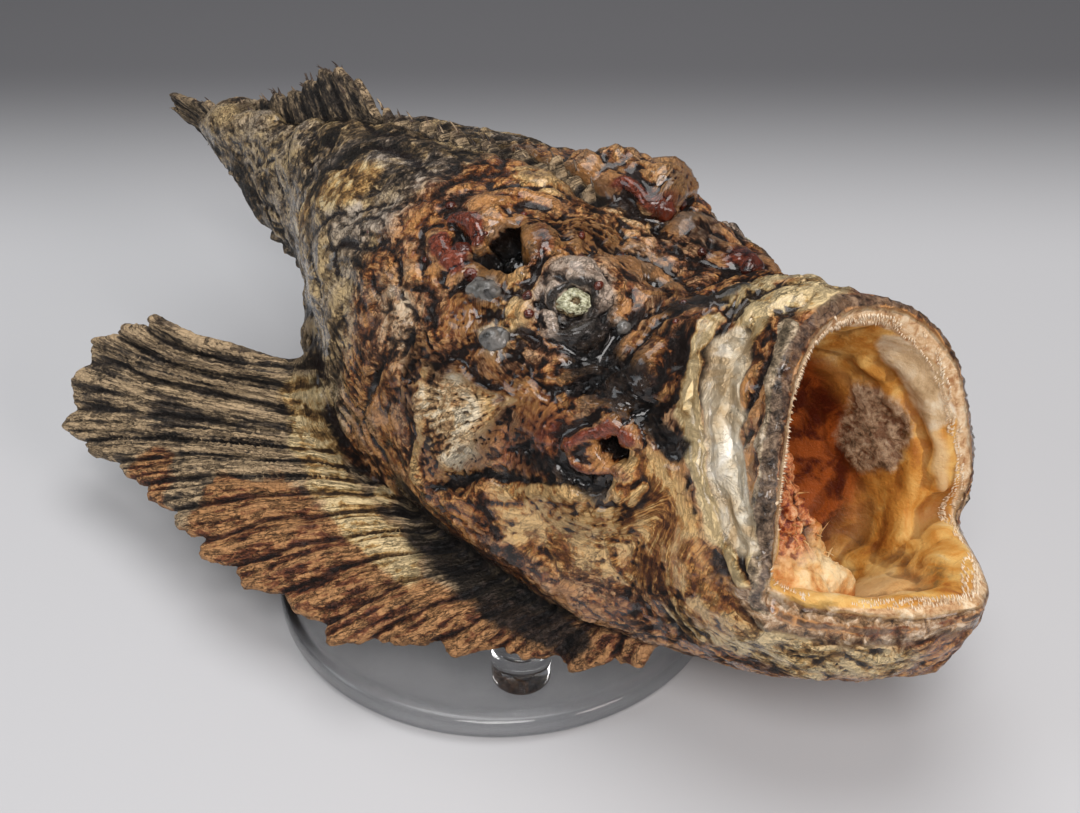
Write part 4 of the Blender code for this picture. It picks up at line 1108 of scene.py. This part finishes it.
def hide_finish():
    """Dried hide: finely wrinkled umber and rust, with grey, golden and wet red patches."""
    dry = Finish("dried_skin")
    flow = dry.node("ShaderNodeAttribute", {"attribute_name": "flow"}, {}, "Vector")
    broad = dry.noise(0.026, detail=3.0)
    mid = dry.noise(0.0085, detail=5.0, rough=0.62, warp=0.9)
    fine = dry.noise(0.0022, detail=5.0, rough=0.7, warp=0.4)
    grain = dry.noise(0.0007, detail=3.0, rough=0.7)
    folds = dry.noise(0.0022, detail=5.0, rough=0.72, on=flow)
    hairs = dry.noise(0.0009, detail=3.0, rough=0.6, on=flow)
    cracks = dry.cell_edges(0.0019).rise(0.0, 0.14)
    lines = abs(folds - 0.5).rise(0.0, 0.035)
    thin_lines = abs(hairs - 0.5).rise(0.0, 0.05)
    fin, lining, relief, fold = (dry.mark(name) for name in ("fin", "lining", "relief", "fold"))
    outer = 1.0 - lining
    off_fins = 1.0 - fin
    taut = dry.mark("calm")

    def patch(name, low=0.3, high=0.7, spread=0.6):
        """A stored mark with its edge broken up by noise."""
        return (dry.mark(name) + (mid - 0.5) * spread + (fine - 0.5) * spread * 0.7).rise(low, high)

    # Where the skin stands up and where it sinks, for a painted highlight on the folds and painted shade in
    # the creases
    crest_highlight = (relief * 0.7 + fold * 0.3 + (fine - 0.5) * 0.3).rise(0.52, 0.80)
    crease_shade = (relief * 0.6 + fold * 0.4 + (fine - 0.5) * 0.12).rise(0.475, 0.35)
    sleek = dry.noise(0.0085, detail=2.0, warp=1.0).rise(0.48, 0.57) * outer * off_fins
    sleek = sleek * (1.0 - dry.mark("trunk") * 0.7) * (1.0 - dry.mark("cream"))
    small = (folds * 0.26 + fine * 0.18) * (1.0 - sleek * 0.6) + sleek * 0.125
    # The relief term makes the tone lighter where the skin stands up and darker where it sinks: painted
    # light and shade
    tone = mid * 0.34 + broad * 0.22 + small + (relief - 0.5) * 0.22
    tone = (tone - 0.482) * 2.6 + 0.5 - dry.mark("trunk") * (0.04 + dry.mark("high") * 0.06)
    hide_tone = {name: dry.tones(tone, *colours) for name, colours in HIDE_TONES.items()}

    # Outside
    hues = dry.noise(0.013, detail=3.0, warp=0.6).rise(0.44, 0.58)
    head = dry.mix(hues * 0.26, hide_tone["rust"], hide_tone["ash"])
    head = dry.mix(sleek * 0.65, head, hide_tone["glaze"])
    trunk = dry.mix(hues * (dry.mark("high") * 0.5 + 0.35), hide_tone["olive"], hide_tone["ash"])
    colour = dry.mix(patch("trunk"), head, trunk)
    for share, name in (
        (patch("grey") * 0.85, "ash"), (patch("ochre"), "straw"), (patch("orange"), "amber"),
        (patch("cream", 0.25, 0.85), "cream"), (patch("red"), "blood"),
    ):  # fmt: skip
        colour = dry.mix(share, colour, hide_tone[name])
    blade = dry.tones(fine, *MOUTH_TONES["blade"])
    colour = dry.mix(patch("blade", 0.4, 0.6, 0.3), colour, blade)

    # Fins
    strands = dry.noise(0.0014, detail=4.0, on=flow)
    # Here too the relief term paints raised parts of the fins lighter and sunk ones darker, as light and
    # shade
    tone = mid * 0.25 + broad * 0.2 + strands * 0.45 + dry.mark("ray") * 0.06 + (relief - 0.5) * 0.12
    tone = (tone - 0.448) * 2.3 + 0.5 - dry.mark("middle") * 0.10
    dusky, ruddy = (dry.tones(tone, *FIN_TONES[name]) for name in ("dusky", "ruddy"))
    fins = dry.mix(patch("rust", 0.3, 0.7, 0.9), dusky, ruddy)
    plain = (1.0 - patch("cream")) * (1.0 - patch("ochre"))
    colour = dry.mix(fin.rise(0.3, 0.7) * plain, colour, fins)

    # Painted light and shade: raised folds are painted lighter as if they catch the light, and the fine
    # lines, cracks, creases and hollows are painted dark as shade
    line_shade = (1.0 - lines) * 0.60 + (1.0 - thin_lines) * 0.15 + (1.0 - cracks) * 0.22
    line_shade = line_shade * (1.0 - taut * 0.5) * (1.0 - sleek * 0.6)
    hollow = fold.rise(0.48, 0.30) * outer * off_fins
    for share, shade in (
        (crest_highlight * 0.08 * outer * (1.0 - patch("red")), (0.55, 0.34, 0.19)),
        ((line_shade * (1.0 - lining * 0.85)).clamped(), (0.010, 0.005, 0.004)),
        (crease_shade * (0.85 - fin * 0.35), (0.008, 0.004, 0.003)),
        (hollow * 0.62, (0.016, 0.006, 0.003)),
    ):
        colour = dry.mix(share, colour, shade)

    # Inside: amber where light comes through, dark red painted shade deep in the throat, on the near wall
    # and in the hollows and creases, a painted pool of golden light on the floor, and a dry rough patch
    ember = dry.mix(mid.rise(0.4, 0.6), (0.09, 0.012, 0.003), (0.42, 0.10, 0.016))
    # Painted light: the golden pool on the floor of the mouth
    glow = dry.mix(mid, (0.80, 0.36, 0.08), (0.97, 0.78, 0.42))
    inside = dry.tones(mid * 0.55 + broad * 0.45, *MOUTH_TONES["amber"])
    for share, shade in (
        (patch("ember", 0.3, 0.8, 0.3), ember),
        (patch("glow", 0.3, 0.9, 0.3), glow),
        (patch("cream", 0.3, 0.8, 0.3) * 0.8, (0.76, 0.56, 0.32)),
        (patch("patch", 0.2, 0.8, 1.0), dry.tones(fine, *MOUTH_TONES["patch"])),
        (crease_shade * 0.5, (0.14, 0.03, 0.006)),
    ):
        inside = dry.mix(share, inside, shade)
    colour = dry.mix(lining.rise(0.35, 0.65), colour, inside)

    # Over both sides: pearly membranes, the gums and lips, and what is black: the skin's own black, and
    # painted shade in the pits, holes, furrows and gaps
    black = dry.mix(fine.rise(0.5, 0.7), (0.005, 0.004, 0.004), (0.05, 0.035, 0.03))
    for share, shade in (
        (patch("pearl", 0.3, 0.7, 0.25), dry.tones(mid * 0.6 + broad * 0.4, *MOUTH_TONES["pearl"])),
        (dry.mark("teeth").rise(0.3, 0.7), dry.tones(fine, *MOUTH_TONES["gums"])),
        (patch("crust", 0.35, 0.6, 0.9), dry.tones(fine, *MOUTH_TONES["crust"])),
        (patch("lip") * 0.85, dry.tones(fine, *MOUTH_TONES["lip"])),
        (patch("black") * 0.95, black),
        # Near pure black where black and gloss meet: painted shade in the deepest pits, and the black
        # fold's own colour
        ((dry.mark("black") * dry.mark("gloss")).rise(0.4, 0.6), (0.001, 0.001, 0.001)),
    ):
        colour = dry.mix(share, colour, shade)

    shine = (broad * 0.5 + mid * 0.5).rise(0.47, 0.56) * outer * off_fins * 0.85
    gloss = patch("gloss", 0.2, 0.8).most(shine).most(sleek)
    roughness = (0.50 - gloss * 0.33) + (fine - 0.5) * 0.30 + fin * 0.06
    height = lines * 0.34 + thin_lines * 0.16 + folds * 0.7 + hairs * 0.35
    height = (height + fine * 0.25 + cracks * 0.12 + grain * 0.1) * outer
    height = height * (1.0 - sleek * 0.45) * (1.0 - taut * 0.55)
    inside_height = folds * 0.2 + fine * 0.3 + grain * 0.2
    return dry.surface(
        colour,
        Roughness=roughness.clamped(),
        Coat_Weight=(gloss * 0.9 * (1.0 - fin * 0.8)).clamped(),
        Coat_Roughness=0.10,
        Specular_IOR_Level=0.32,
        Normal=dry.bump(height + inside_height * lining, HIDE_BUMP),
    )


finish_piece(skin, hide_finish(), "dried_skin", *FLESH)


# ---------------------------------------------------------------------------------------------
# Eyes. Each is a shrunken eyeball in its ringed dome: a chalky crust round a dark sunken middle.
# ---------------------------------------------------------------------------------------------
EYE_WIDTH = 3.6
EYE_HEIGHT = 2.6
EYE_SEGMENTS = 96
EYE_RINGS = 64
PUPIL_OFF = (0.16, 0.10)
DOME_SPREAD = 4.0


def face_tree(piece):
    """A search tree of a finished piece's faces, in model metres."""
    mesh = piece.data
    points = [vertex.co for vertex in mesh.vertices]
    return BVHTree.FromPolygons(points, [tuple(face.vertices) for face in mesh.polygons])


def on_skin(place):
    """The point of the skin nearest to a point of the upright fish, and the way out there."""
    nearest, facing, _, _ = skin_tree.find_nearest(Vector(leaning([place])[0]))
    return nearest, facing


def as_vector(x, y, z):
    """A direction of the upright fish, as one of the model."""
    turned = leaning([(x, y, z), (0.0, 0.0, 0.0)])
    return Vector((turned[0] - turned[1]) / MM)


def settled_facing(place):
    """The way out of the skin round a point, averaged over its surroundings."""
    total = Vector()
    for shift in np.ndindex(3, 3, 3):
        total += on_skin(np.array(place) + (np.array(shift) - 1) * DOME_SPREAD)[1]
    return total.normalized()


def dried_eye(name, place):
    """An eyeball with a rough raised ring and a sunken middle, turned out of its dome."""
    bpy.ops.object.select_all(action="DESELECT")
    bpy.ops.mesh.primitive_uv_sphere_add(segments=EYE_SEGMENTS, ring_count=EYE_RINGS, radius=1)
    eye = bpy.context.object
    eye.name = name
    flat = np.empty(len(eye.data.vertices) * 3, np.float32)
    eye.data.vertices.foreach_get("co", flat)
    ball = flat.reshape(-1, 3).astype(float)
    spread = lengths(ball[:, :2] - PUPIL_OFF) + 0.10 * clouds(ball * 3, 1.0, 21)
    spread += 0.12 * clouds(ball * 3, 0.5, 22)
    front = ball[:, 2] > 0
    crust = smooth(0.20, 0.40, spread) * smooth(1.05, 0.85, spread) * front
    height = ball[:, 2] * np.where(front, 0.9, 1.4)
    height += crust * (0.55 + 0.45 * creases(ball * 3, 1.1, 7) + 0.25 * clouds(ball * 3, 0.5, 9))
    height -= 0.5 * smooth(0.28, 0.12, spread) * front
    wobble = 1 + 0.13 * clouds(ball * 3, 1.4, 11)
    shaped = np.column_stack([
        ball[:, 0] * EYE_WIDTH * wobble, ball[:, 1] * EYE_HEIGHT * wobble, height
    ])
    turn = settled_facing(place).to_track_quat("Z", "Y").to_matrix()
    placed = shaped * MM @ np.array(turn).T + np.array(on_skin(place)[0])
    eye.data.vertices.foreach_set("co", placed.astype(np.float32).ravel())
    layer = eye.data.attributes.new("crust", "FLOAT", "POINT")
    layer.data.foreach_set("value", crust.astype(np.float32))
    eye.data.update()
    return smooth_shaded(eye)


def eye_finish():
    """Chalk-white crust with olive stains, and a dark glassy middle."""
    eye = Finish("dried_eye")
    fine = eye.noise(0.0009, detail=4.0, rough=0.7)
    broken = eye.noise(0.0022, detail=4.0, warp=0.5)
    crust = (eye.mark("crust") + (fine - 0.5) * 0.8 + (broken - 0.5) * 1.6).rise(0.2, 0.7)
    chalk = eye.ramp(
        fine, (0.34, (0.09, 0.08, 0.035)), (0.48, (0.46, 0.45, 0.29)), (0.62, (0.80, 0.79, 0.60))
    )
    middle = eye.mix(fine.rise(0.36, 0.6), (0.020, 0.014, 0.008), (0.28, 0.20, 0.10))
    colour = eye.mix(crust, middle, chalk)
    return eye.surface(colour, Roughness=crust * 0.4 + 0.18, Normal=eye.bump(fine, 0.0004))


skin_tree = face_tree(skin)
chalky = eye_finish()
for side, place in EYE_DOMES.items():
    finish_piece(dried_eye("eye_ball_" + side, place), chalky, "dried_eye", "eye_" + side)


# ---------------------------------------------------------------------------------------------
# Teeth. A stonefish has no fangs, but a band of tiny close-set teeth on the inner edge of both
# jaws. They stand in rows across the lip, leaning back into the mouth.
# ---------------------------------------------------------------------------------------------
TOOTH_ROWS = 5
TOOTH_PITCH = 0.52
TOOTH_LENGTH = 1.25
TOOTH_WIDTH = 0.21
TOOTH_SIDES = 5
FIRST_ROW = 1.3
ROW_STEP = 0.62
ROW_SHRINKAGE = 0.09
TOOTH_SCATTER = 0.10
MOUTH_MIDDLE = np.array([60.0, 4.0, 56.0])


def joined_spikes(name, spikes, sides):
    """Many closed spikes as one mesh. Each is a line of points with a radius at each point."""
    form = bmesh.new()
    for line, radii in spikes:
        turn = (line[-1] - line[0]).normalized().to_track_quat("Z", "Y")
        loops = []
        for place, radius in zip(line[:-1], radii):
            loops.append([
                form.verts.new(place + turn @ Vector((math.cos(angle), math.sin(angle), 0)) * radius)
                for angle in np.arange(sides) * 2 * math.pi / sides
            ])
        tip = form.verts.new(line[-1])
        form.faces.new(loops[0][::-1])
        for one, two in zip(loops, loops[1:]):
            for i in range(sides):
                j = (i + 1) % sides
                form.faces.new((one[i], one[j], two[j], two[i]))
        for i in range(sides):
            form.faces.new((loops[-1][i], loops[-1][(i + 1) % sides], tip))
    return smooth_shaded(piece_from(name, form))


def tooth_spikes():
    """Short leaning spikes in rows inside the lips."""
    luck = np.random.default_rng(5)
    spikes = []
    for loop in (LIP_RIGHT, LIP_LEFT):
        length = lengths(np.diff(smooth_line(loop, 60), axis=0)).sum()
        line = smooth_line(loop, int(length / TOOTH_PITCH))
        for row in range(TOOTH_ROWS):
            for rim in line:
                inward = MOUTH_MIDDLE - rim
                inward /= np.linalg.norm(inward)
                depth = FIRST_ROW + ROW_STEP * row
                root, facing = on_skin(rim + inward * depth + luck.normal(0, TOOTH_SCATTER, 3))
                if facing.dot(as_vector(*inward)) < -0.1:
                    continue
                size = MM * luck.uniform(0.7, 1.15) * (1 - ROW_SHRINKAGE * row)
                lean = Vector(leaning([rim + inward])[0] - leaning([rim])[0]).normalized()
                tip = root + (facing * 0.7 + lean * 0.8).normalized() * TOOTH_LENGTH * size
                line_up = [root - facing * 0.3 * MM, root.lerp(tip, 0.3), tip]
                spikes.append((line_up, [TOOTH_WIDTH * size * 1.5, TOOTH_WIDTH * size]))
    return spikes


def tooth_finish():
    """Cream enamel, browner in places."""
    enamel = Finish("dried_teeth")
    mid = enamel.noise(0.006, detail=3.0)
    fine = enamel.noise(0.0012, detail=3.0)
    stain = mid * 0.5 + fine * 0.5
    colour = enamel.ramp(
        stain, (0.38, (0.55, 0.36, 0.20)), (0.5, (0.84, 0.66, 0.45)), (0.62, (0.92, 0.80, 0.62))
    )
    return enamel.surface(colour, Roughness=0.35, Normal=enamel.bump(fine, 0.0001))


teeth = joined_spikes("teeth", tooth_spikes(), TOOTH_SIDES)
finish_piece(teeth, tooth_finish(), "dried_jaw")


# ---------------------------------------------------------------------------------------------
# Gill tissue. What is left of the gills stands torn in the mouth: a fleshy cream foot on the
# floor, a porous rust-red stem with a hollow down it, and threads along the ragged edge.
# ---------------------------------------------------------------------------------------------
TISSUE_GRAIN = 0.0005
TORN_FROM, TORN_TO = 42.0, 58.0
TISSUE_FOOT = np.array([80.0, -12.0, 38.0])
TISSUE_GROWTH = (1.15, 1.35, 1.12)
TISSUE_HOLLOW = [(75, -6, 58), (76, -6, 50)]
THREADS = 46
THREAD_FLOOR = 46
THREAD_SIDES = 6
SHORTEST_THREAD, LONGEST_THREAD = 0.8, 3.0
THREAD_WIDTH = 0.22
SPIKE_STEPS = 5
TUFT_LENGTH = 6.5
TUFT_WIDTH = 0.42


def torn_tissue():
    """The tissue's plain form, grown to its full size, torn, pitted and hollowed."""
    tissue = merged_flesh("torn_tissue", ["gill_tissue"], TISSUE_GRAIN)
    flesh = Hide(tissue)
    flesh.relax(6, 0.6)
    flesh.points = TISSUE_FOOT + (flesh.points - TISSUE_FOOT) * TISSUE_GROWTH
    torn = smooth(TORN_FROM, TORN_TO, flesh.points[:, 2])
    flesh.push(1.0 * (creases(flesh.points, 6.0, 5, stretch=(1.0, 1.0, 0.4)) - 0.35))
    flesh.push((0.1 + 1.1 * torn) * (creases(flesh.points, 2.4, 9) - 0.45))
    deep = smooth(3.6, 1.4, line_distance(flesh.points, TISSUE_HOLLOW))
    flesh.push(-2.6 * deep)
    flesh.push(0.35 * clouds(flesh.points, 1.2, 13, stretch=(1.0, 1.0, 0.4)))
    over = flesh.points - flesh.blurred(flesh.points, 8)
    flesh.marks = {"torn": torn, "deep": deep, "relief": 0.5 + (over * flesh.normals()).sum(1)}
    flesh.store()
    return smooth_shaded(tissue)


def tissue_finish():
    """Dried flesh: cream to honey low down, rust-red and porous above, with painted shade: darker in its
    pits and very dark in its hollow.
    """
    flesh = Finish("torn_tissue")
    mid = flesh.noise(0.005, detail=4.0)
    fine = flesh.noise(0.0014, detail=4.0, rough=0.7)
    torn = (flesh.mark("torn") + (mid - 0.5) * 1.0).rise(0.35, 0.7)
    foot = flesh.ramp(
        mid, (0.36, (0.62, 0.24, 0.06)), (0.5, (0.88, 0.56, 0.24)), (0.62, (0.92, 0.72, 0.42))
    )
    stem = flesh.ramp(
        fine, (0.36, (0.20, 0.025, 0.008)), (0.5, (0.62, 0.20, 0.06)), (0.64, (0.86, 0.50, 0.26))
    )
    # Painted shade: darker in the pits, and very dark down the hollow
    pits = flesh.mark("relief").rise(0.48, 0.25) * (torn * 0.7 + 0.15)
    colour = flesh.mix(pits, flesh.mix(torn, foot, stem), (0.12, 0.015, 0.006))
    colour = flesh.mix(flesh.mark("deep").rise(0.3, 0.9), colour, (0.015, 0.004, 0.003))
    return flesh.surface(colour, Roughness=0.36, Normal=flesh.bump(fine, 0.0005))


def curved_spike(start, run, bend, length, radius):
    """A tapering spike that starts one way and bends another."""
    shares = np.linspace(0, 1, SPIKE_STEPS + 1)
    line = [start + (run * t + bend * t * t) * length for t in shares]
    return line, [radius * (1 - 0.75 * t) for t in shares[:-1]]


def tissue_threads():
    """Short torn threads on the tissue's upper part, and a tuft of longer ones on its top."""
    luck = np.random.default_rng(11)
    vertices = [v for v in tissue.data.vertices if v.normal.x > 0.1 or v.normal.z > 0.4]
    upper = [v for v in vertices if upright(np.array([v.co]))[0, 2] > THREAD_FLOOR]
    spikes = []
    for _ in range(THREADS):
        vertex = upper[luck.integers(len(upper))]
        bend = Vector(luck.normal(0, 0.6, 3))
        length = luck.uniform(SHORTEST_THREAD, LONGEST_THREAD) * MM
        start = vertex.co - vertex.normal * 0.2 * MM
        spikes.append(curved_spike(start, vertex.normal, bend, length, THREAD_WIDTH * MM))
    top = max(tissue.data.vertices, key=lambda v: v.co.z)
    run = Vector((0.25, 0.3, 0.9))
    for bend in (Vector((0.3, 0.5, 0.1)), Vector((0.5, 0.1, 0.0)), Vector((-0.2, 0.4, 0.2))):
        spikes.append(curved_spike(top.co - run * MM, run, bend, TUFT_LENGTH * MM, TUFT_WIDTH * MM))
    return spikes


tissue = torn_tissue()
honeyed = tissue_finish()
finish_piece(tissue, honeyed, "torn_tissue", "gill_tissue")
threads = joined_spikes("tissue_threads", tissue_threads(), THREAD_SIDES)
finish_piece(threads, honeyed, "torn_tissue")


# ---------------------------------------------------------------------------------------------
# Spines. Thirteen stout spines stand along the back, each with its skin shrunk down round it so
# that the bony tip shows. The rays of the fins behind them have frayed into loose dark threads.
# ---------------------------------------------------------------------------------------------
SPINE_LENGTH = 3.6
SPINE_WIDTH = 0.4
SPINE_SIDES = 8
# Loose threads on each fin's edge: how many, and how long they are about
RAY_THREADS = {"soft": (45, 1.5), "spines": (27, 1.2), "tail": (18, 1.4)}


def bone_finish():
    """Yellowed bone with brown streaks."""
    bone = Finish("spine_bone")
    streak = bone.noise(0.0022, detail=4.0, stretch=(1.0, 1.0, 0.3))
    colour = bone.tones(streak, (0.03, 0.018, 0.011), (0.15, 0.095, 0.055), (0.44, 0.32, 0.19))
    return bone.surface(colour, Roughness=0.4, Normal=bone.bump(streak, 0.0003))


def fibre_finish():
    """Dark dried fibre, brown in places."""
    fibre = Finish("frayed_fibre")
    fine = fibre.noise(0.004, detail=4.0)
    colour = fibre.ramp(
        fine, (0.38, (0.018, 0.012, 0.010)), (0.55, (0.085, 0.050, 0.032)), (0.68, (0.26, 0.18, 0.11))
    )
    return fibre.surface(colour, Roughness=0.5, Normal=fibre.bump(fine, 0.0002))


def spine_spikes():
    """The spines' bony tips, standing out of the fin's edge and bent back a little."""
    luck = np.random.default_rng(3)
    root, edge, count = MIDDLE_FINS["spines"]
    spikes = []
    for tip, foot in zip(smooth_line(edge, count - 1), smooth_line(root, count - 1)):
        start, _ = on_skin(tip * 0.7 + foot * 0.3)
        run = as_vector(*(tip - foot)).normalized()
        bend = as_vector(-0.5, luck.normal(0, 0.15), -0.12)
        length = SPINE_LENGTH * luck.uniform(0.5, 1.0) * MM
        spikes.append(curved_spike(start - run * MM, run, bend, length, SPINE_WIDTH * MM))
    return spikes


def ray_threads():
    """Loose threads along the ends of the middle fins' rays."""
    luck = np.random.default_rng(8)
    spikes = []
    for fin, (count, length) in RAY_THREADS.items():
        root, edge, _ = MIDDLE_FINS[fin]
        tips, roots = smooth_line(edge, 60), smooth_line(root, 60)
        for _ in range(count):
            index = luck.integers(61)
            out = tips[index] - roots[index]
            start, facing = on_skin(roots[index] + out * luck.uniform(0.6, 1.0))
            run = as_vector(*out).normalized() + facing * 0.5
            bend = as_vector(*luck.normal(0, 0.35, 3)) + as_vector(-0.9, 0, -0.4)
            size = length * luck.uniform(0.4, 1.2) * MM
            width = luck.uniform(0.16, 0.4) * MM
            spikes.append(curved_spike(start - facing * 0.3 * MM, run, bend, size, width))
    return spikes


spines = joined_spikes("back_spines", spine_spikes(), SPINE_SIDES)
finish_piece(spines, bone_finish(), "dried_fin")
frayed = joined_spikes("frayed_rays", ray_threads(), THREAD_SIDES)
finish_piece(frayed, fibre_finish(), "dried_fin")


# ---------------------------------------------------------------------------------------------
# Beads. Glands and warts of the head have dried to hard glossy beads, half sunk in the skin:
# oxblood red ones on the brow and snout, and a few like grey pearls by the eye.
# ---------------------------------------------------------------------------------------------
# Each kind's dark and light colour, and its beads' places and radii
BEADS = {
    "pearl": ((0.012, 0.011, 0.010), (0.19, 0.18, 0.165), [
        (BLUE_BEAD, 3.0), (PEARL_BEAD, 2.6), (SNOUT_BEAD, 1.5), ((8, 36, 79), 2.4),
    ]),
    "oxblood": ((0.012, 0.002, 0.001), (0.13, 0.022, 0.008), [
        ((-1.5, -30.0, 84.0), 2.0), ((3.0, -31.0, 82.0), 1.5), ((13.0, 11.5, 91.5), 2.6),
        ((12.5, 16.0, 91.5), 2.0), (SNOUT_WART, 2.6), ((-2, 33.5, 83), 2.0),
    ]),
}  # fmt: skip
SMALL_BEADS = 26
BROW_LOW, BROW_HIGH = (-30, -34, 78), (46, 36, 92)
FINE_BEAD = 1.4
BEAD_SINK = 0.2


def bead_mesh(name, beads):
    """Joined balls, each flattened into the skin and dented by noise."""
    form = bmesh.new()
    for index, (place, radius) in enumerate(beads):
        middle, facing = on_skin(place)
        turn = facing.to_track_quat("Z", "Y")
        subdivisions = 4 if radius > FINE_BEAD else 2
        made = bmesh.ops.create_icosphere(form, subdivisions=subdivisions, radius=1)["verts"]
        ball = np.array([vertex.co for vertex in made])
        dent = 1 + 0.16 * clouds(ball * 3 + index * 5, 2.2, 3)
        for vertex, swell in zip(made, dent):
            shape = Vector((vertex.co.x * 1.15, vertex.co.y, vertex.co.z * 0.9)) * swell * radius * MM
            vertex.co = middle - facing * BEAD_SINK * radius * MM + turn @ shape
    return smooth_shaded(piece_from(name, form))


def bead_finish(name, dark, light):
    """A hard clouded gloss."""
    bead = Finish(name)
    cloud = bead.noise(0.0035, detail=4.0, warp=0.5)
    return bead.surface(
        bead.ramp(cloud, (0.36, dark), (0.62, light)),
        Roughness=0.16,
        Coat_Weight=0.6,
        Coat_Roughness=0.08,
        Normal=bead.bump(cloud, 0.0009),
    )


def small_beads():
    """Little warts strewn over the brow and snout."""
    luck = np.random.default_rng(21)
    places = luck.uniform(BROW_LOW, BROW_HIGH, (SMALL_BEADS, 3))
    return [(place, luck.uniform(0.35, 1.15)) for place in places]


for kind, (dark, light, chosen) in BEADS.items():
    strewn = small_beads() if kind == "oxblood" else []
    beads = bead_mesh(kind + "_beads", chosen + strewn)
    finish_piece(beads, bead_finish(kind + "_bead", dark, light), "dried_skin")
